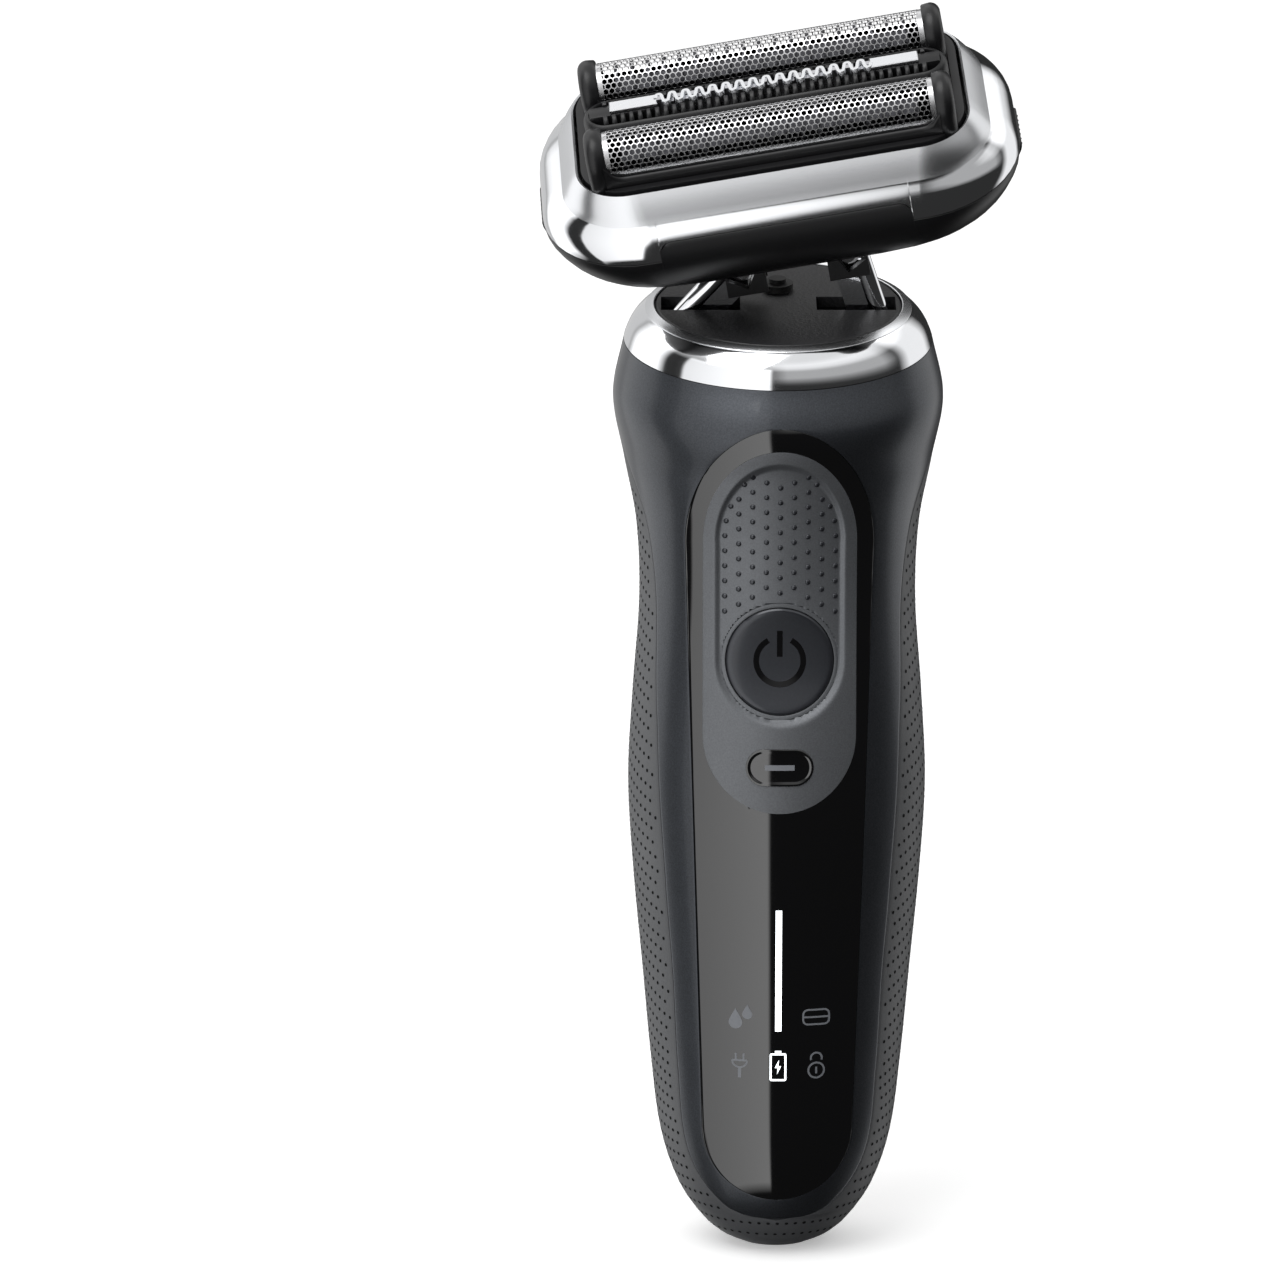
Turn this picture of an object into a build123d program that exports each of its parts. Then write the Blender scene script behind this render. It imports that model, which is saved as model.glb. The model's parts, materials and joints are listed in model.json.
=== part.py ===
from build123d import *
import os
from math import atan2, cos, degrees, hypot, pi, sin

os.makedirs("parts", exist_ok=True)

# ---------------------------------------------------------------- driving dimensions (mm, degrees)
# Handle: X to the right, -Y to the front, +Z up; origin at the lowest point, on the charging socket.
WALL = 1.8                  # outer shell thickness
ROUND_POINTS = 16           # points of the round spline behind every section of the handle
NECK_TILT = 13.0            # forward slant of the neck plane
NECK_Z = 124.0              # height of the centre of the neck disc's top face
RING_BASE_R = 19.9          # neck ring, lower edge
RING_TOP_R = 17.15          # neck ring, upper edge
RING_BASE_T = -4.5          # heights along the slanted neck axis, from the disc's top face
RING_TOP_T = -0.5
DISC_R = 15.9
DISC_T = 1.4
# height, half-width, half-depth, forward slant of each section of the handle
HANDLE_SECTIONS = (
    (0.0, 4.6, 4.4, 0.0),
    (1.2, 7.2, 6.8, 0.0),
    (3.5, 9.8, 9.2, 0.0),
    (8.0, 12.8, 11.9, 0.0),
    (15.0, 15.1, 14.0, 0.0),
    (25.0, 16.4, 15.2, 0.0),
    (37.0, 17.5, 16.2, 0.0),
    (50.0, 18.7, 17.3, 0.0),
    (62.0, 19.35, 17.9, 0.0),
    (74.0, 18.75, 17.5, 0.0),
    (86.0, 17.9, 16.9, 0.0),
    (96.0, 18.3, 17.3, 1.5),
    (104.5, 19.9, 18.7, 4.5),
    (112.5, 21.3, 20.6, 9.0),
)
# outline of the side grip, seen from the side: distance to the front, height
GRIP_EDGE = (
    (14.0, 3.8),
    (10.3, 5.1),
    (9.3, 8.0),
    (8.7, 14.0),
    (9.4, 25.0),
    (10.6, 43.0),
    (10.9, 62.0),
    (8.6, 81.0),
    (7.2, 94.0),
    (5.8, 101.0),
    (3.6, 105.2),
    (1.3, 107.2),
)
PANEL_LOW_R = 9.7           # display panel: radius of the lower end
PANEL_LOW_Z = 8.2
PANEL_TOP_W = 12.0          # half-width where the upper arch starts
PANEL_ARCH_Z = 95.0
PANEL_TOP_Z = 110.4
PANEL_T = 1.2
PAD_W = 9.8                 # thumb pad half-width
PAD_LOW_Z = 60.6
PAD_ARCH_Z = 95.5
PAD_TOP_Z = 107.5
PAD_T = 0.9
BUTTON_Z = 80.1
BUTTON_R = 6.85
BUTTON_GAP = 0.2
RECESS_R = 8.4
RECESS_DEEP = 0.45
PILL_Z = 66.6
PILL_L = 8.7
PILL_H = 4.8
BAR_Z = 39.7
BAR_L = 16.3
BAR_W = 0.8

# Shaving head: u along the foils, v to the back, w out of the foils, from the centre of the opening's rim
ROLL = 10.0                 # how far the head is rolled from its middle position as drawn
PITCH = 19.0                # how far the head is pitched forward from the neck axis as drawn
PIVOT_T = 18.4              # both swivel axes cross here, above the disc
PIVOT_W = -10.5             # the same point in the head
# half-length, half-depth, corner radius, height
FRAME_SECTIONS = (
    (25.0, 12.5, 6.5, -1.3),
    (27.4, 15.0, 9.5, -4.6),
    (29.7, 16.6, 12.0, -6.5),
    (30.6, 17.2, 13.0, -8.9),
)
BASE_SECTIONS = (
    (30.6, 17.2, 13.0, -8.9),
    (30.1, 16.9, 13.0, -11.2),
    (27.6, 15.6, 12.2, -14.2),
    (22.2, 13.2, 11.0, -16.5),
)
BASE_WALL = 1.5
BASE_FLOOR_W = -15.0
LIP_HALF = 16.0             # the raised lip in the front edge of the chrome frame
LIP_H = 2.4
OPEN_L = 24.75              # opening in the chrome frame
OPEN_D = 12.3
FOIL_V = 7.2                # distance of each foil from the middle
FOIL_R = 3.2
FOIL_W = 1.2                # height of the foil's centre of curvature
FOIL_HALF = 21.3
FOIL_T = 0.15
FINS = 19
FIN_PITCH = 2.05
UNIT_GAP = 0.3
TEETH = 14
TOOTH_PITCH = 2.2

# Linkage: lower and upper pins of the two arms, in the neck plane
LOW_PIN = (12.3, -3.0)
HIGH_PIN_DROP = 11.5        # below the swivel point
PIN_R = 1.0
ARM_HALF_W = 2.5
ARM_DEEP = 4.0

# ---------------------------------------------------------------- places
NECK = Pos(0, 0, NECK_Z) * Rot(NECK_TILT, 0, 0)
CRADLE = NECK * Pos(0, 0, PIVOT_T) * Rot(0, -ROLL, 0)
HEAD = CRADLE * Rot(PITCH, 0, 0) * Pos(0, 0, -PIVOT_W)
STILL = Location()

LOW_TO_PIVOT = hypot(LOW_PIN[0], PIVOT_T - LOW_PIN[1])
HIGH_PIN_X = LOW_PIN[0] * HIGH_PIN_DROP / (PIVOT_T - LOW_PIN[1])
HIGH_TO_PIVOT = hypot(HIGH_PIN_X, HIGH_PIN_DROP)
ARM_LENGTH = LOW_TO_PIVOT - HIGH_TO_PIVOT
ARM_RATIO = -HIGH_TO_PIVOT / ARM_LENGTH
ARM_LEAN = degrees(atan2(LOW_PIN[0], PIVOT_T - LOW_PIN[1]))


def save(name, shape, place=STILL):
    """One STEP per piece, in the handle's frame."""
    solids = [place * solid for solid in shape.solids()]
    export_step(solids[0] if len(solids) == 1 else Compound(children=solids), f"parts/{name}.step")


def slab(half_x, half_y, radius, low, high):
    """A plate with rounded corners between two heights."""
    return Pos(0, 0, low) * extrude(RectangleRounded(2 * half_x, 2 * half_y, radius), high - low)


def block(x0, x1, y0, y1, z0, z1):
    """A box between two corners."""
    return Pos((x0 + x1) / 2, (y0 + y1) / 2, (z0 + z1) / 2) * Box(x1 - x0, y1 - y0, z1 - z0)


def rod(radius, x, y, z0, z1):
    """An upright cylinder between two heights."""
    return Pos(x, y, (z0 + z1) / 2) * Cylinder(radius, z1 - z0)


def rod_x(radius, x0, x1, y, z):
    """A cylinder along X."""
    return Pos((x0 + x1) / 2, y, z) * Rot(0, 90, 0) * Cylinder(radius, x1 - x0)


def rod_y(radius, x, y0, y1, z):
    """A cylinder along Y."""
    return Pos(x, (y0 + y1) / 2, z) * Rot(90, 0, 0) * Cylinder(radius, y1 - y0)


def fused(shapes):
    """All the shapes as one."""
    shapes = list(shapes)
    whole = shapes[0]
    for shape in shapes[1:]:
        whole = whole + shape
    return whole


def stepped_loft(sections, inset=0.0, floor=None):
    """A loft through rounded rectangles, set in by a wall."""
    faces = []
    for half_l, half_d, radius, height in sections:
        low = height if floor is None else max(height, floor)
        outline = RectangleRounded(2 * (half_l - inset), 2 * (half_d - inset), radius - inset)
        faces.append(Pos(0, 0, low) * outline)
    return loft(faces)


# ---------------------------------------------------------------- handle: outer form
def handle_section(half_w, half_d):
    """An elliptic section: one round spline, stretched, so that every section has the same knots."""
    points = [(cos(2 * pi * i / ROUND_POINTS), sin(2 * pi * i / ROUND_POINTS)) for i in range(ROUND_POINTS)]
    return scale(make_face(Spline(*points, periodic=True)), by=(half_w, half_d, 1))


def handle_form(inset):
    """The handle's outer form, set in evenly by a wall thickness."""
    faces = []
    for height, half_w, half_d, tilt in HANDLE_SECTIONS:
        if half_w - inset > 4.0:
            lift = inset if height < 4.0 and inset > 0 else 0.0
            place = Pos(0, 0, height + lift) * Rot(tilt, 0, 0)
            faces.append(place * handle_section(half_w - inset, half_d - inset))
    top_r = RING_BASE_R - inset
    faces.append(NECK * Pos(0, 0, RING_BASE_T) * handle_section(top_r, top_r))
    return loft(faces)


def grip_prism():
    """Everything inside the outline of the side grip and below it, from side to side."""
    wide = GRIP_EDGE[0][0]
    front = [(-y, z) for y, z in GRIP_EDGE]
    back = [(y, z) for y, z in reversed(GRIP_EDGE)]
    outline = Polyline(*front, *back, (wide, -6), (-wide, -6), close=True)
    return extrude(Plane.YZ * make_face(outline), 40, both=True)


def capsule_prism(half_w, low_r, low_z, arch_z, top_z):
    """The front outline of the panel or the pad: round below, an elliptic arch above."""
    base_z = low_z + low_r
    lower = CenterArc((0, base_z), low_r, 180, 180)
    right = Line((low_r, base_z), (half_w, arch_z))
    arch = EllipticalCenterArc((0, arch_z), half_w, top_z - arch_z, 0, arc_size=180)
    left = Line((-half_w, arch_z), (-low_r, base_z))
    return extrude(Plane.XZ * make_face([lower, right, arch, left]), 40)


def slot_prism(width, height, z):
    """A stadium outline seen from the front, at a height."""
    return extrude(Plane.XZ * Pos(0, z) * SlotOverall(width, height), 40)


def round_prism(radius, z):
    """A round outline seen from the front, at a height."""
    return extrude(Plane.XZ * Pos(0, z) * Circle(radius), 40)


def bar_prism(grow=0.0):
    """The tall light bar in the lower panel."""
    return extrude(Plane.XZ * Pos(0, BAR_Z) * RectangleRounded(BAR_W + grow, BAR_L + grow, 0.35), 40)


def icon_prism():
    """Five small windows: two above, three below."""
    places = ((-5.05, 33.4), (4.9, 33.6), (-4.95, 26.7), (0.0, 26.8), (4.95, 26.7))
    window = RectangleRounded(2.6, 3.4, 0.4)
    return fused(extrude(Plane.XZ * Pos(x, z) * window, 40) for x, z in places)


# ---------------------------------------------------------------- handle: pieces
BOSSES = ((-9.2, 24.0), (9.2, 24.0), (-10.0, 98.0), (10.0, 98.0))
CHASSIS_FRONT = -1.6
CHASSIS_BACK = -0.4
SCREW_R = 0.85
SOCKET_L = 9.2
SOCKET_D = 5.8
CELL_R = 7.0
CELL_Y = 6.9
CELL_LOW = 36.0
CELL_HIGH = 86.0
CONTACT_Z = 14.0
CABLE_R = 1.1


def socket_hole(grow=0.0):
    """The stadium hole for the charging socket in the handle's lower end."""
    return Pos(0, 0, -2) * extrude(SlotOverall(SOCKET_L + grow, SOCKET_D + grow), 14)


def make_handle():
    form = handle_form(0.0)
    under_panel = handle_form(PANEL_T)
    under_pad = handle_form(PAD_T)
    cavity = handle_form(WALL)
    side = grip_prism()
    front_half = block(-40, 40, -40, 0, -5, 140)
    back_half = block(-40, 40, 0, 40, -5, 140)

    panel = capsule_prism(PANEL_TOP_W, PANEL_LOW_R, PANEL_LOW_Z, PANEL_ARCH_Z, PANEL_TOP_Z)
    pad = capsule_prism(PAD_W, PAD_W, PAD_LOW_Z, PAD_ARCH_Z, PAD_TOP_Z)
    recess = capsule_prism(RECESS_R, RECESS_R, BUTTON_Z - RECESS_R, PAD_ARCH_Z, PAD_TOP_Z - 1.5)
    button_hole = round_prism(BUTTON_R + BUTTON_GAP, BUTTON_Z)
    pill = slot_prism(PILL_L, PILL_H, PILL_Z)

    front = (form & front_half) - side - cavity
    front = front - (panel & (form - under_panel)) - button_hole
    bosses = fused(rod_y(2.2, x, -15.0, CHASSIS_FRONT, z) for x, z in BOSSES) & cavity
    pilots = fused(rod_y(SCREW_R, x, -8.0, CHASSIS_FRONT + 0.1, z) for x, z in BOSSES)
    save("front_shell", front + bosses - pilots)

    contacts = fused(rod_y(1.6, x, 0, 30, CONTACT_Z) for x in (-5.0, 5.0))
    save("back_shell", (form & back_half) - side - cavity - contacts)
    save("rear_contacts", (contacts & form) - cavity)
    save("side_grip", (form & side) - cavity - socket_hole())

    panel_skin = (form - under_panel) & panel
    panel_piece = panel_skin - (pad & (form - under_pad)) - button_hole - bar_prism() - icon_prism()
    save("display_panel", panel_piece)
    save("charge_bar", panel_skin & bar_prism())
    save("status_icons", panel_skin & icon_prism())
    shallow = form - handle_form(RECESS_DEEP)
    pad_skin = (form - under_pad) & pad
    save("thumb_pad", pad_skin - (shallow & recess) - button_hole - pill)
    save("pill_inlay", pad_skin & pill)

    cap = (handle_form(RECESS_DEEP + 0.15) - handle_form(WALL + 0.3)) & round_prism(BUTTON_R, BUTTON_Z)
    stem = rod_y(1.5, 0, -15.5, -11.2, BUTTON_Z)
    save("power_button", cap + stem)
    return cavity


def make_electronics(cavity):
    """Chassis, cell, boards, switch and the charging inlet."""
    plate = block(-12.5, 12.5, CHASSIS_FRONT, CHASSIS_BACK, 18, 108)
    cheeks = [block(s * 11.8 - 0.7, s * 11.8 + 0.7, CHASSIS_BACK, 7.5, 30, 92) for s in (-1, 1)]
    stops = [block(-9, 9, CHASSIS_BACK, 9.0, z, z + 1.2) for z in (CELL_LOW - 1.2, CELL_HIGH)]
    chassis = fused([plate] + cheeks + stops)
    chassis = chassis - fused(rod_y(SCREW_R, x, -3, 3, z) for x, z in BOSSES)
    chassis = chassis & cavity - rod(CELL_R + 0.05, 0, CELL_Y, CELL_LOW, CELL_HIGH)
    save("inner_chassis", chassis)
    save("chassis_screws", Compound(children=[
        rod_y(SCREW_R, x, -7.6, CHASSIS_BACK, z) + rod_y(1.7, x, CHASSIS_BACK, CHASSIS_BACK + 1.1, z)
        for x, z in BOSSES
    ]))
    cell = rod(CELL_R, 0, CELL_Y, CELL_LOW, CELL_HIGH)
    save("battery_cell", cell)
    tabs = [block(-2, 2, CELL_Y - 2, CELL_Y + 2, z, z + 0.25) for z in (CELL_HIGH + 1.2, CELL_LOW - 1.45)]
    save("battery_tabs", Compound(children=tabs))

    main_low, main_high = 30.0, 94.0
    board = block(-7.0, 7.0, CHASSIS_FRONT - 1.2, CHASSIS_FRONT, main_low, main_high)
    save("main_board", board)
    chip_y = CHASSIS_FRONT - 1.2
    chips = [
        block(-3.5, 3.5, chip_y - 1.1, chip_y, 48, 55),
        block(-6.0, -3.0, chip_y - 2.6, chip_y, 60, 66),
        block(2.4, 6.0, chip_y - 2.2, chip_y, 60, 63.6),
        rod_y(2.4, -3.0, chip_y - 4.2, chip_y, 40),
        rod_y(2.4, 3.0, chip_y - 4.2, chip_y, 40),
        block(-5.5, 5.5, chip_y - 3.0, chip_y, 88, 92),
    ]
    save("board_parts", Compound(children=chips))
    front_board = block(-6.8, 6.8, -10.2, -9.2, 24, 90)
    legs = [block(x - 1, x + 1, -9.2, chip_y, z, z + 2) for x in (-5.5, 5.5) for z in (70, 84)]
    save("display_board", front_board)
    save("board_spacers", Compound(children=legs))
    switch = block(-3, 3, -10.8, -10.2, BUTTON_Z - 3, BUTTON_Z + 3)
    save("tact_switch", switch)
    bar_places = [BAR_Z + 3.2 * i for i in range(-2, 3)]
    lights = [block(-0.5, 0.5, -11.0, -10.2, z - 0.6, z + 0.6) for z in bar_places]
    lights += [block(x - 0.7, x + 0.7, -11.0, -10.2, 26.2, 27.4) for x in (-4.95, 0.0, 4.95)]
    save("display_lights", Compound(children=lights))

    body = extrude(SlotOverall(SOCKET_L, SOCKET_D), 11.0)
    body = Pos(0, 0, 0.2) * body
    pocket = Pos(0, 0, -1) * extrude(SlotOverall(SOCKET_L - 1.2, SOCKET_D - 1.2), 8.5)
    pins = [rod(0.6, x, 0, 2.2, 12.6) for x in (-1.7, 1.7)]
    save("charge_socket", body - pocket - fused(pins))
    save("socket_pins", Compound(children=pins))
    seal = Pos(0, 0, 8.0) * extrude(
        SlotOverall(SOCKET_L + 2.4, SOCKET_D + 2.4) - SlotOverall(SOCKET_L, SOCKET_D), 1.4
    )
    save("socket_seal", seal & cavity)


# ---------------------------------------------------------------- neck
def neck_pocket(half_v, low, high):
    """The two pockets that the arms swing in."""
    return fused(block(s * 10.0 - 5.1, s * 10.0 + 5.1, -half_v, half_v, low, high) for s in (-1, 1))


def make_neck():
    inner = DISC_R + 0.2
    outside = Spline(
        (RING_BASE_R, RING_BASE_T), (18.95, -2.2), (RING_TOP_R, RING_TOP_T),
        tangents=((-0.12, 1), (-1.1, 1)),
    )
    profile = make_face([
        outside,
        Line((RING_TOP_R, RING_TOP_T), (inner, RING_TOP_T - 0.35)),
        Line((inner, RING_TOP_T - 0.35), (inner, RING_BASE_T)),
        Line((inner, RING_BASE_T), (RING_BASE_R, RING_BASE_T)),
    ])
    save("neck_ring", revolve(Plane.XZ * profile, Axis.Z), NECK)

    slots = neck_pocket(ARM_DEEP / 2 + 0.5, -8, 2)
    port = rod(2.0, 0, 5.5, -8, 2)
    disc = rod(DISC_R, 0, 0, -DISC_T, 0)
    disc = chamfer(disc.edges().filter_by(GeomType.CIRCLE).sort_by(Axis.Z)[-1], 0.35)
    save("neck_disc", disc - slots - port, NECK)
    seal = rod(inner, 0, 0, -DISC_T - 0.8, -DISC_T)
    seal = seal - rod(DISC_R - 1.5, 0, 0, -DISC_T - 1.0, -DISC_T + 0.2)
    save("neck_seal", seal - neck_pocket(ARM_DEEP / 2 + 0.8, -8, 2), NECK)

    grommet = rod(2.0, 0, 5.5, -6.2, 0.9) - rod(CABLE_R, 0, 5.5, -7, 2)
    save("neck_grommet", grommet, NECK)

    bracket = rod(DISC_R - 1.6, 0, 0, -6.2, -DISC_T) + rod(17.2, 0, 0, -6.2, RING_BASE_T)
    axles = fused(rod_y(PIN_R, s * LOW_PIN[0], -5.4, 5.4, LOW_PIN[1]) for s in (-1, 1))
    cable_gap = rod(2.0, 0, 5.5, -8, 2)
    save("neck_bracket", bracket - slots - axles - cable_gap, NECK)
    save("arm_pivot_pins", axles, NECK)


def make_cable():
    """The motor cable from the plug behind the chassis up through the neck."""
    mouth = (NECK * Pos(0, 5.5, 1.5)).position
    bend = (NECK * Pos(0, 5.5, -11.0)).position
    plug_top = 99.0
    y = CHASSIS_BACK + 1.8
    path = FilletPolyline((0, y, plug_top), (0, y, plug_top + 5.5), bend, mouth, radius=4.5)
    start = Plane(origin=(0, y, plug_top), z_dir=(0, 0, 1))
    save("motor_cable", sweep(start * Circle(CABLE_R), path=path))
    save("cable_plug", block(-3.0, 3.0, CHASSIS_BACK, CHASSIS_BACK + 3.6, plug_top - 4.0, plug_top))


def arm_shape():
    """One arm standing up from its lower pin: a round polished edge with a flat web, and two eyes."""
    half = ARM_DEEP / 2
    low_eye = rod_y(1.9, 0, -half, half, 0)
    high_eye = rod_y(1.75, 0, -half, half, ARM_LENGTH)
    web = block(-ARM_HALF_W, ARM_HALF_W - 1.2, -half + 0.5, half - 0.5, 0.8, ARM_LENGTH - 1.6)
    tube = rod(1.3, ARM_HALF_W - 1.3, -half + 1.45, 0.9, ARM_LENGTH - 1.7)
    high_pin = rod_y(PIN_R, 0, -half - 1.6, half + 1.6, ARM_LENGTH)
    bore = rod_y(PIN_R + 0.05, 0, -half - 1, half + 1, 0)
    return low_eye + high_eye + web + tube + high_pin - bore


def make_arms():
    arm = arm_shape()
    for name, side in (("arm_right", 1), ("arm_left", -1)):
        lean = -side * ARM_LEAN - ARM_RATIO * ROLL
        shape = arm if side > 0 else mirror(arm, Plane.YZ)
        save(name, shape, NECK * Pos(side * LOW_PIN[0], 0, LOW_PIN[1]) * Rot(0, lean, 0))


# ---------------------------------------------------------------- cradle
EAR_IN = 17.0
EAR_OUT = 18.6
EAR_HALF_V = 2.2
YOKE_TOP = -8.3
YOKE_T = 1.2
TRUNNION_R = 1.2


def make_cradle():
    """The yoke that carries the head on two trunnions, in a frame whose origin is the swivel point."""
    low = YOKE_TOP - YOKE_T
    plate = block(-EAR_OUT, EAR_OUT, -3.4, 3.4, low, YOKE_TOP)
    plate = fillet(plate.edges().filter_by(Axis.Z), 1.6)
    shape = plate
    for side in (-1, 1):
        x0, x1 = sorted((side * EAR_IN, side * EAR_OUT))
        ear = block(x0, x1, -EAR_HALF_V, EAR_HALF_V, low, 0) + rod_x(EAR_HALF_V, x0, x1, 0, 0)
        shape = shape + ear
        outer_v = ARM_DEEP / 2 + 0.35
        for v in (-1, 1):
            v0, v1 = sorted((v * outer_v, v * (outer_v + 1.4)))
            lug = block(side * HIGH_PIN_X - 2.6, side * HIGH_PIN_X + 2.6, v0, v1, -15.0, low + 0.1)
            shape = shape + lug
        slot = Pos(side * HIGH_PIN_X, 0, -HIGH_PIN_DROP) * Rot(0, -side * ARM_LEAN, 0)
        shape = shape - slot * block(-PIN_R - 0.45, PIN_R + 0.45, -6, 6, -2.3, 1.6)
    middle_gap = block(-4.0, 4.0, -ARM_DEEP, ARM_DEEP, -20, low)
    shape = shape - middle_gap
    pins = [rod_x(TRUNNION_R, *sorted((s * (EAR_IN - 1.0), s * 22.2)), 0, 0) for s in (-1, 1)]
    save("cradle_yoke", shape - fused(pins), CRADLE)
    save("trunnion_pins", Compound(children=pins), CRADLE)


# ---------------------------------------------------------------- head: case and motor
BUSH_IN = 19.5
BUSH_OUT = 22.1
DECK_LOW = -7.2
DECK_T = 1.0
POSTS = ((-21.6, -9.0), (21.6, -9.0), (-21.6, 9.0), (21.6, 9.0))
RELEASE_W = -11.6


def lip_cutter(extra):
    """The notch in the front edge of the chrome frame and the tongue that fills it."""
    height = FRAME_SECTIONS[-1][3]
    outline = Pos(0, height + LIP_H / 2 - 1) * RectangleRounded(2 * LIP_HALF, LIP_H + 2 + extra, 1.2)
    return Pos(0, -13.9, 0) * extrude(Plane.XZ * outline, 8)


def make_head_case():
    top_sections = FRAME_SECTIONS[:2]
    facet = loft([Pos(0, 0, s[3]) * RectangleRounded(2 * s[0], 2 * s[1], s[2]) for s in top_sections])
    solid_frame = stepped_loft(FRAME_SECTIONS[1:]) + facet
    opening = slab(OPEN_L, OPEN_D, 6.2, -9.5, 1)
    tongue = solid_frame & lip_cutter(0.0)
    save("chrome_frame", solid_frame - opening - lip_cutter(0.0), HEAD)

    outer = stepped_loft(BASE_SECTIONS)
    inner_sections = [s for s in BASE_SECTIONS[:3]]
    cavity = stepped_loft(
        [(s[0] - BASE_WALL, s[1] - BASE_WALL, s[2] - BASE_WALL, s[3]) for s in inner_sections]
        + [(23.0, 12.6, 10.0, BASE_FLOOR_W)]
    )
    base = outer - cavity + tongue
    for side in (-1, 1):
        x0, x1 = sorted((side * (BUSH_IN - 0.1), side * (BUSH_OUT + 0.7)))
        base = base + block(x0, x1, -3.4, 3.4, BASE_FLOOR_W - 0.2, PIVOT_W + 3.0)
        x0, x1 = sorted((side * (EAR_IN - 0.45), side * (EAR_OUT + 0.45)))
        base = base - block(x0, x1, -5.8, 5.8, -20, BASE_FLOOR_W + 0.3)
    bushes = fused(rod_x(2.2, *sorted((s * BUSH_IN, s * BUSH_OUT)), 0, PIVOT_W) for s in (-1, 1))
    pin_ends = (EAR_OUT + 0.2, BUSH_OUT + 0.3)
    pin_room = fused(rod_x(1.5, *sorted((s * pin_ends[0], s * pin_ends[1])), 0, PIVOT_W) for s in (-1, 1))
    posts = fused(rod(1.7, x, y, BASE_FLOOR_W - 0.2, DECK_LOW) for x, y in POSTS)
    screws = fused(rod(0.7, x, y, DECK_LOW - 4.5, DECK_LOW + DECK_T) for x, y in POSTS)
    base = base + posts - bushes - pin_room - screws
    for side in (-1, 1):
        base = base - release_solid(side, 0.25)
    save("head_base", base, HEAD)
    reach = BUSH_OUT + 1
    running = rod_x(TRUNNION_R + 0.05, -reach, reach, 0, PIVOT_W)
    save("trunnion_bushes", bushes - running, HEAD)

    deck = slab(OPEN_L - 0.1, OPEN_D - 0.1, 6.1, DECK_LOW, DECK_LOW + DECK_T)
    holes = fused(slab_at(v, 2.6, 1.3, DECK_LOW - 1, DECK_LOW + 2) for v in (-FOIL_V, 0.0, FOIL_V))
    save("head_deck", deck - holes - screws, HEAD)
    heads = fused(rod(1.35, x, y, DECK_LOW + DECK_T, DECK_LOW + DECK_T + 0.5) for x, y in POSTS)
    save("deck_screws", heads + screws, HEAD)


def slab_at(v, half_u, half_v, low, high):
    """A rounded window in a plate, off the middle line."""
    return Pos(0, v, 0) * slab(half_u, half_v, half_v - 0.05, low, high)


def release_solid(side, grow):
    """A push button in the end of the head base."""
    outline = Plane.YZ * Pos(0, RELEASE_W) * RectangleRounded(9.0 + 2 * grow, 3.0 + 2 * grow, 1.2 + grow)
    solid = extrude(outline, 4.4 if grow == 0 else 12)
    reach = 26.2 if grow == 0 else 22.5
    placed = Pos(reach, 0, 0) * solid
    return placed if side > 0 else mirror(placed, Plane.YZ)


def make_release():
    for name, side in (("release_right", 1), ("release_left", -1)):
        button = release_solid(side, 0) & stepped_loft(BASE_SECTIONS)
        save(name, button, HEAD)


MOTOR_HALF_U = 14.5
STATOR_LOW = -14.2
STATOR_HIGH = -11.2
MAGNET_LOW = -10.9
MAGNET_T = 1.0
CARRIER_T = 1.2


def make_motor():
    """Linear motor: a wound stator under two carriers that swing against each other."""
    save("motor_plate", slab(MOTOR_HALF_U, 10.5, 2.0, BASE_FLOOR_W, STATOR_LOW), HEAD)
    core = block(-9, 9, -8, 8, STATOR_LOW, STATOR_LOW + 0.9)
    teeth = fused(block(x - 1.2, x + 1.2, -8, 8, STATOR_LOW + 0.8, STATOR_HIGH) for x in (-7.8, 0.0, 7.8))
    save("motor_stator", core + teeth, HEAD)
    low = STATOR_LOW + 0.9
    coil = slab(5.2, 9.9, 2.4, low, STATOR_HIGH - 0.2) - block(-1.2, 1.2, -8, 8, low - 1, 0)
    save("motor_coil", coil, HEAD)
    springs = [
        block(s * 13.4 - 0.15, s * 13.4 + 0.15, v - 2, v + 2, STATOR_LOW, MAGNET_LOW + 1.4)
        for s in (-1, 1) for v in (-6, 6)
    ]
    save("leaf_springs", Compound(children=springs), HEAD)


def carrier(side):
    """One drive bridge with its pin; the front one also drives the trimmer."""
    low = MAGNET_LOW + MAGNET_T
    v0, v1 = sorted((side * 0.6, side * 11.0))
    plate = block(-11.5, 11.5, v0, v1, low, low + CARRIER_T)
    pin = rod(0.9, 0, side * FOIL_V, low + CARRIER_T - 0.1, -2.2)
    if side < 0:
        tongue = block(-2.0, 2.0, -1.5, 0.9, low, low + CARRIER_T)
        return plate + pin + tongue + rod(0.6, 0, 0, low + CARRIER_T - 0.1, -3.6)
    return plate + pin - block(-5.2, 5.2, 0, 1.6, low - 1, low + 2)


def magnets(side):
    """Two flat magnets under a carrier."""
    v0, v1 = sorted((side * 1.6, side * 8.0))
    return Compound(children=[
        block(x - 2.6, x + 2.6, v0, v1, MAGNET_LOW, MAGNET_LOW + MAGNET_T) for x in (-4.4, 4.4)
    ])


def make_drives():
    for name, side in (("front", -1), ("back", 1)):
        save(f"drive_carrier_{name}", carrier(side), HEAD)
        save(f"drive_magnets_{name}", magnets(side), HEAD)


# ---------------------------------------------------------------- head: shaving elements
UNIT_LOW = -3.4
UNIT_HALF_U = 23.1
UNIT_HALF_V = 3.75
CASSETTE_LOW = -5.5
CASSETTE_WALL = 0.85


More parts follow.
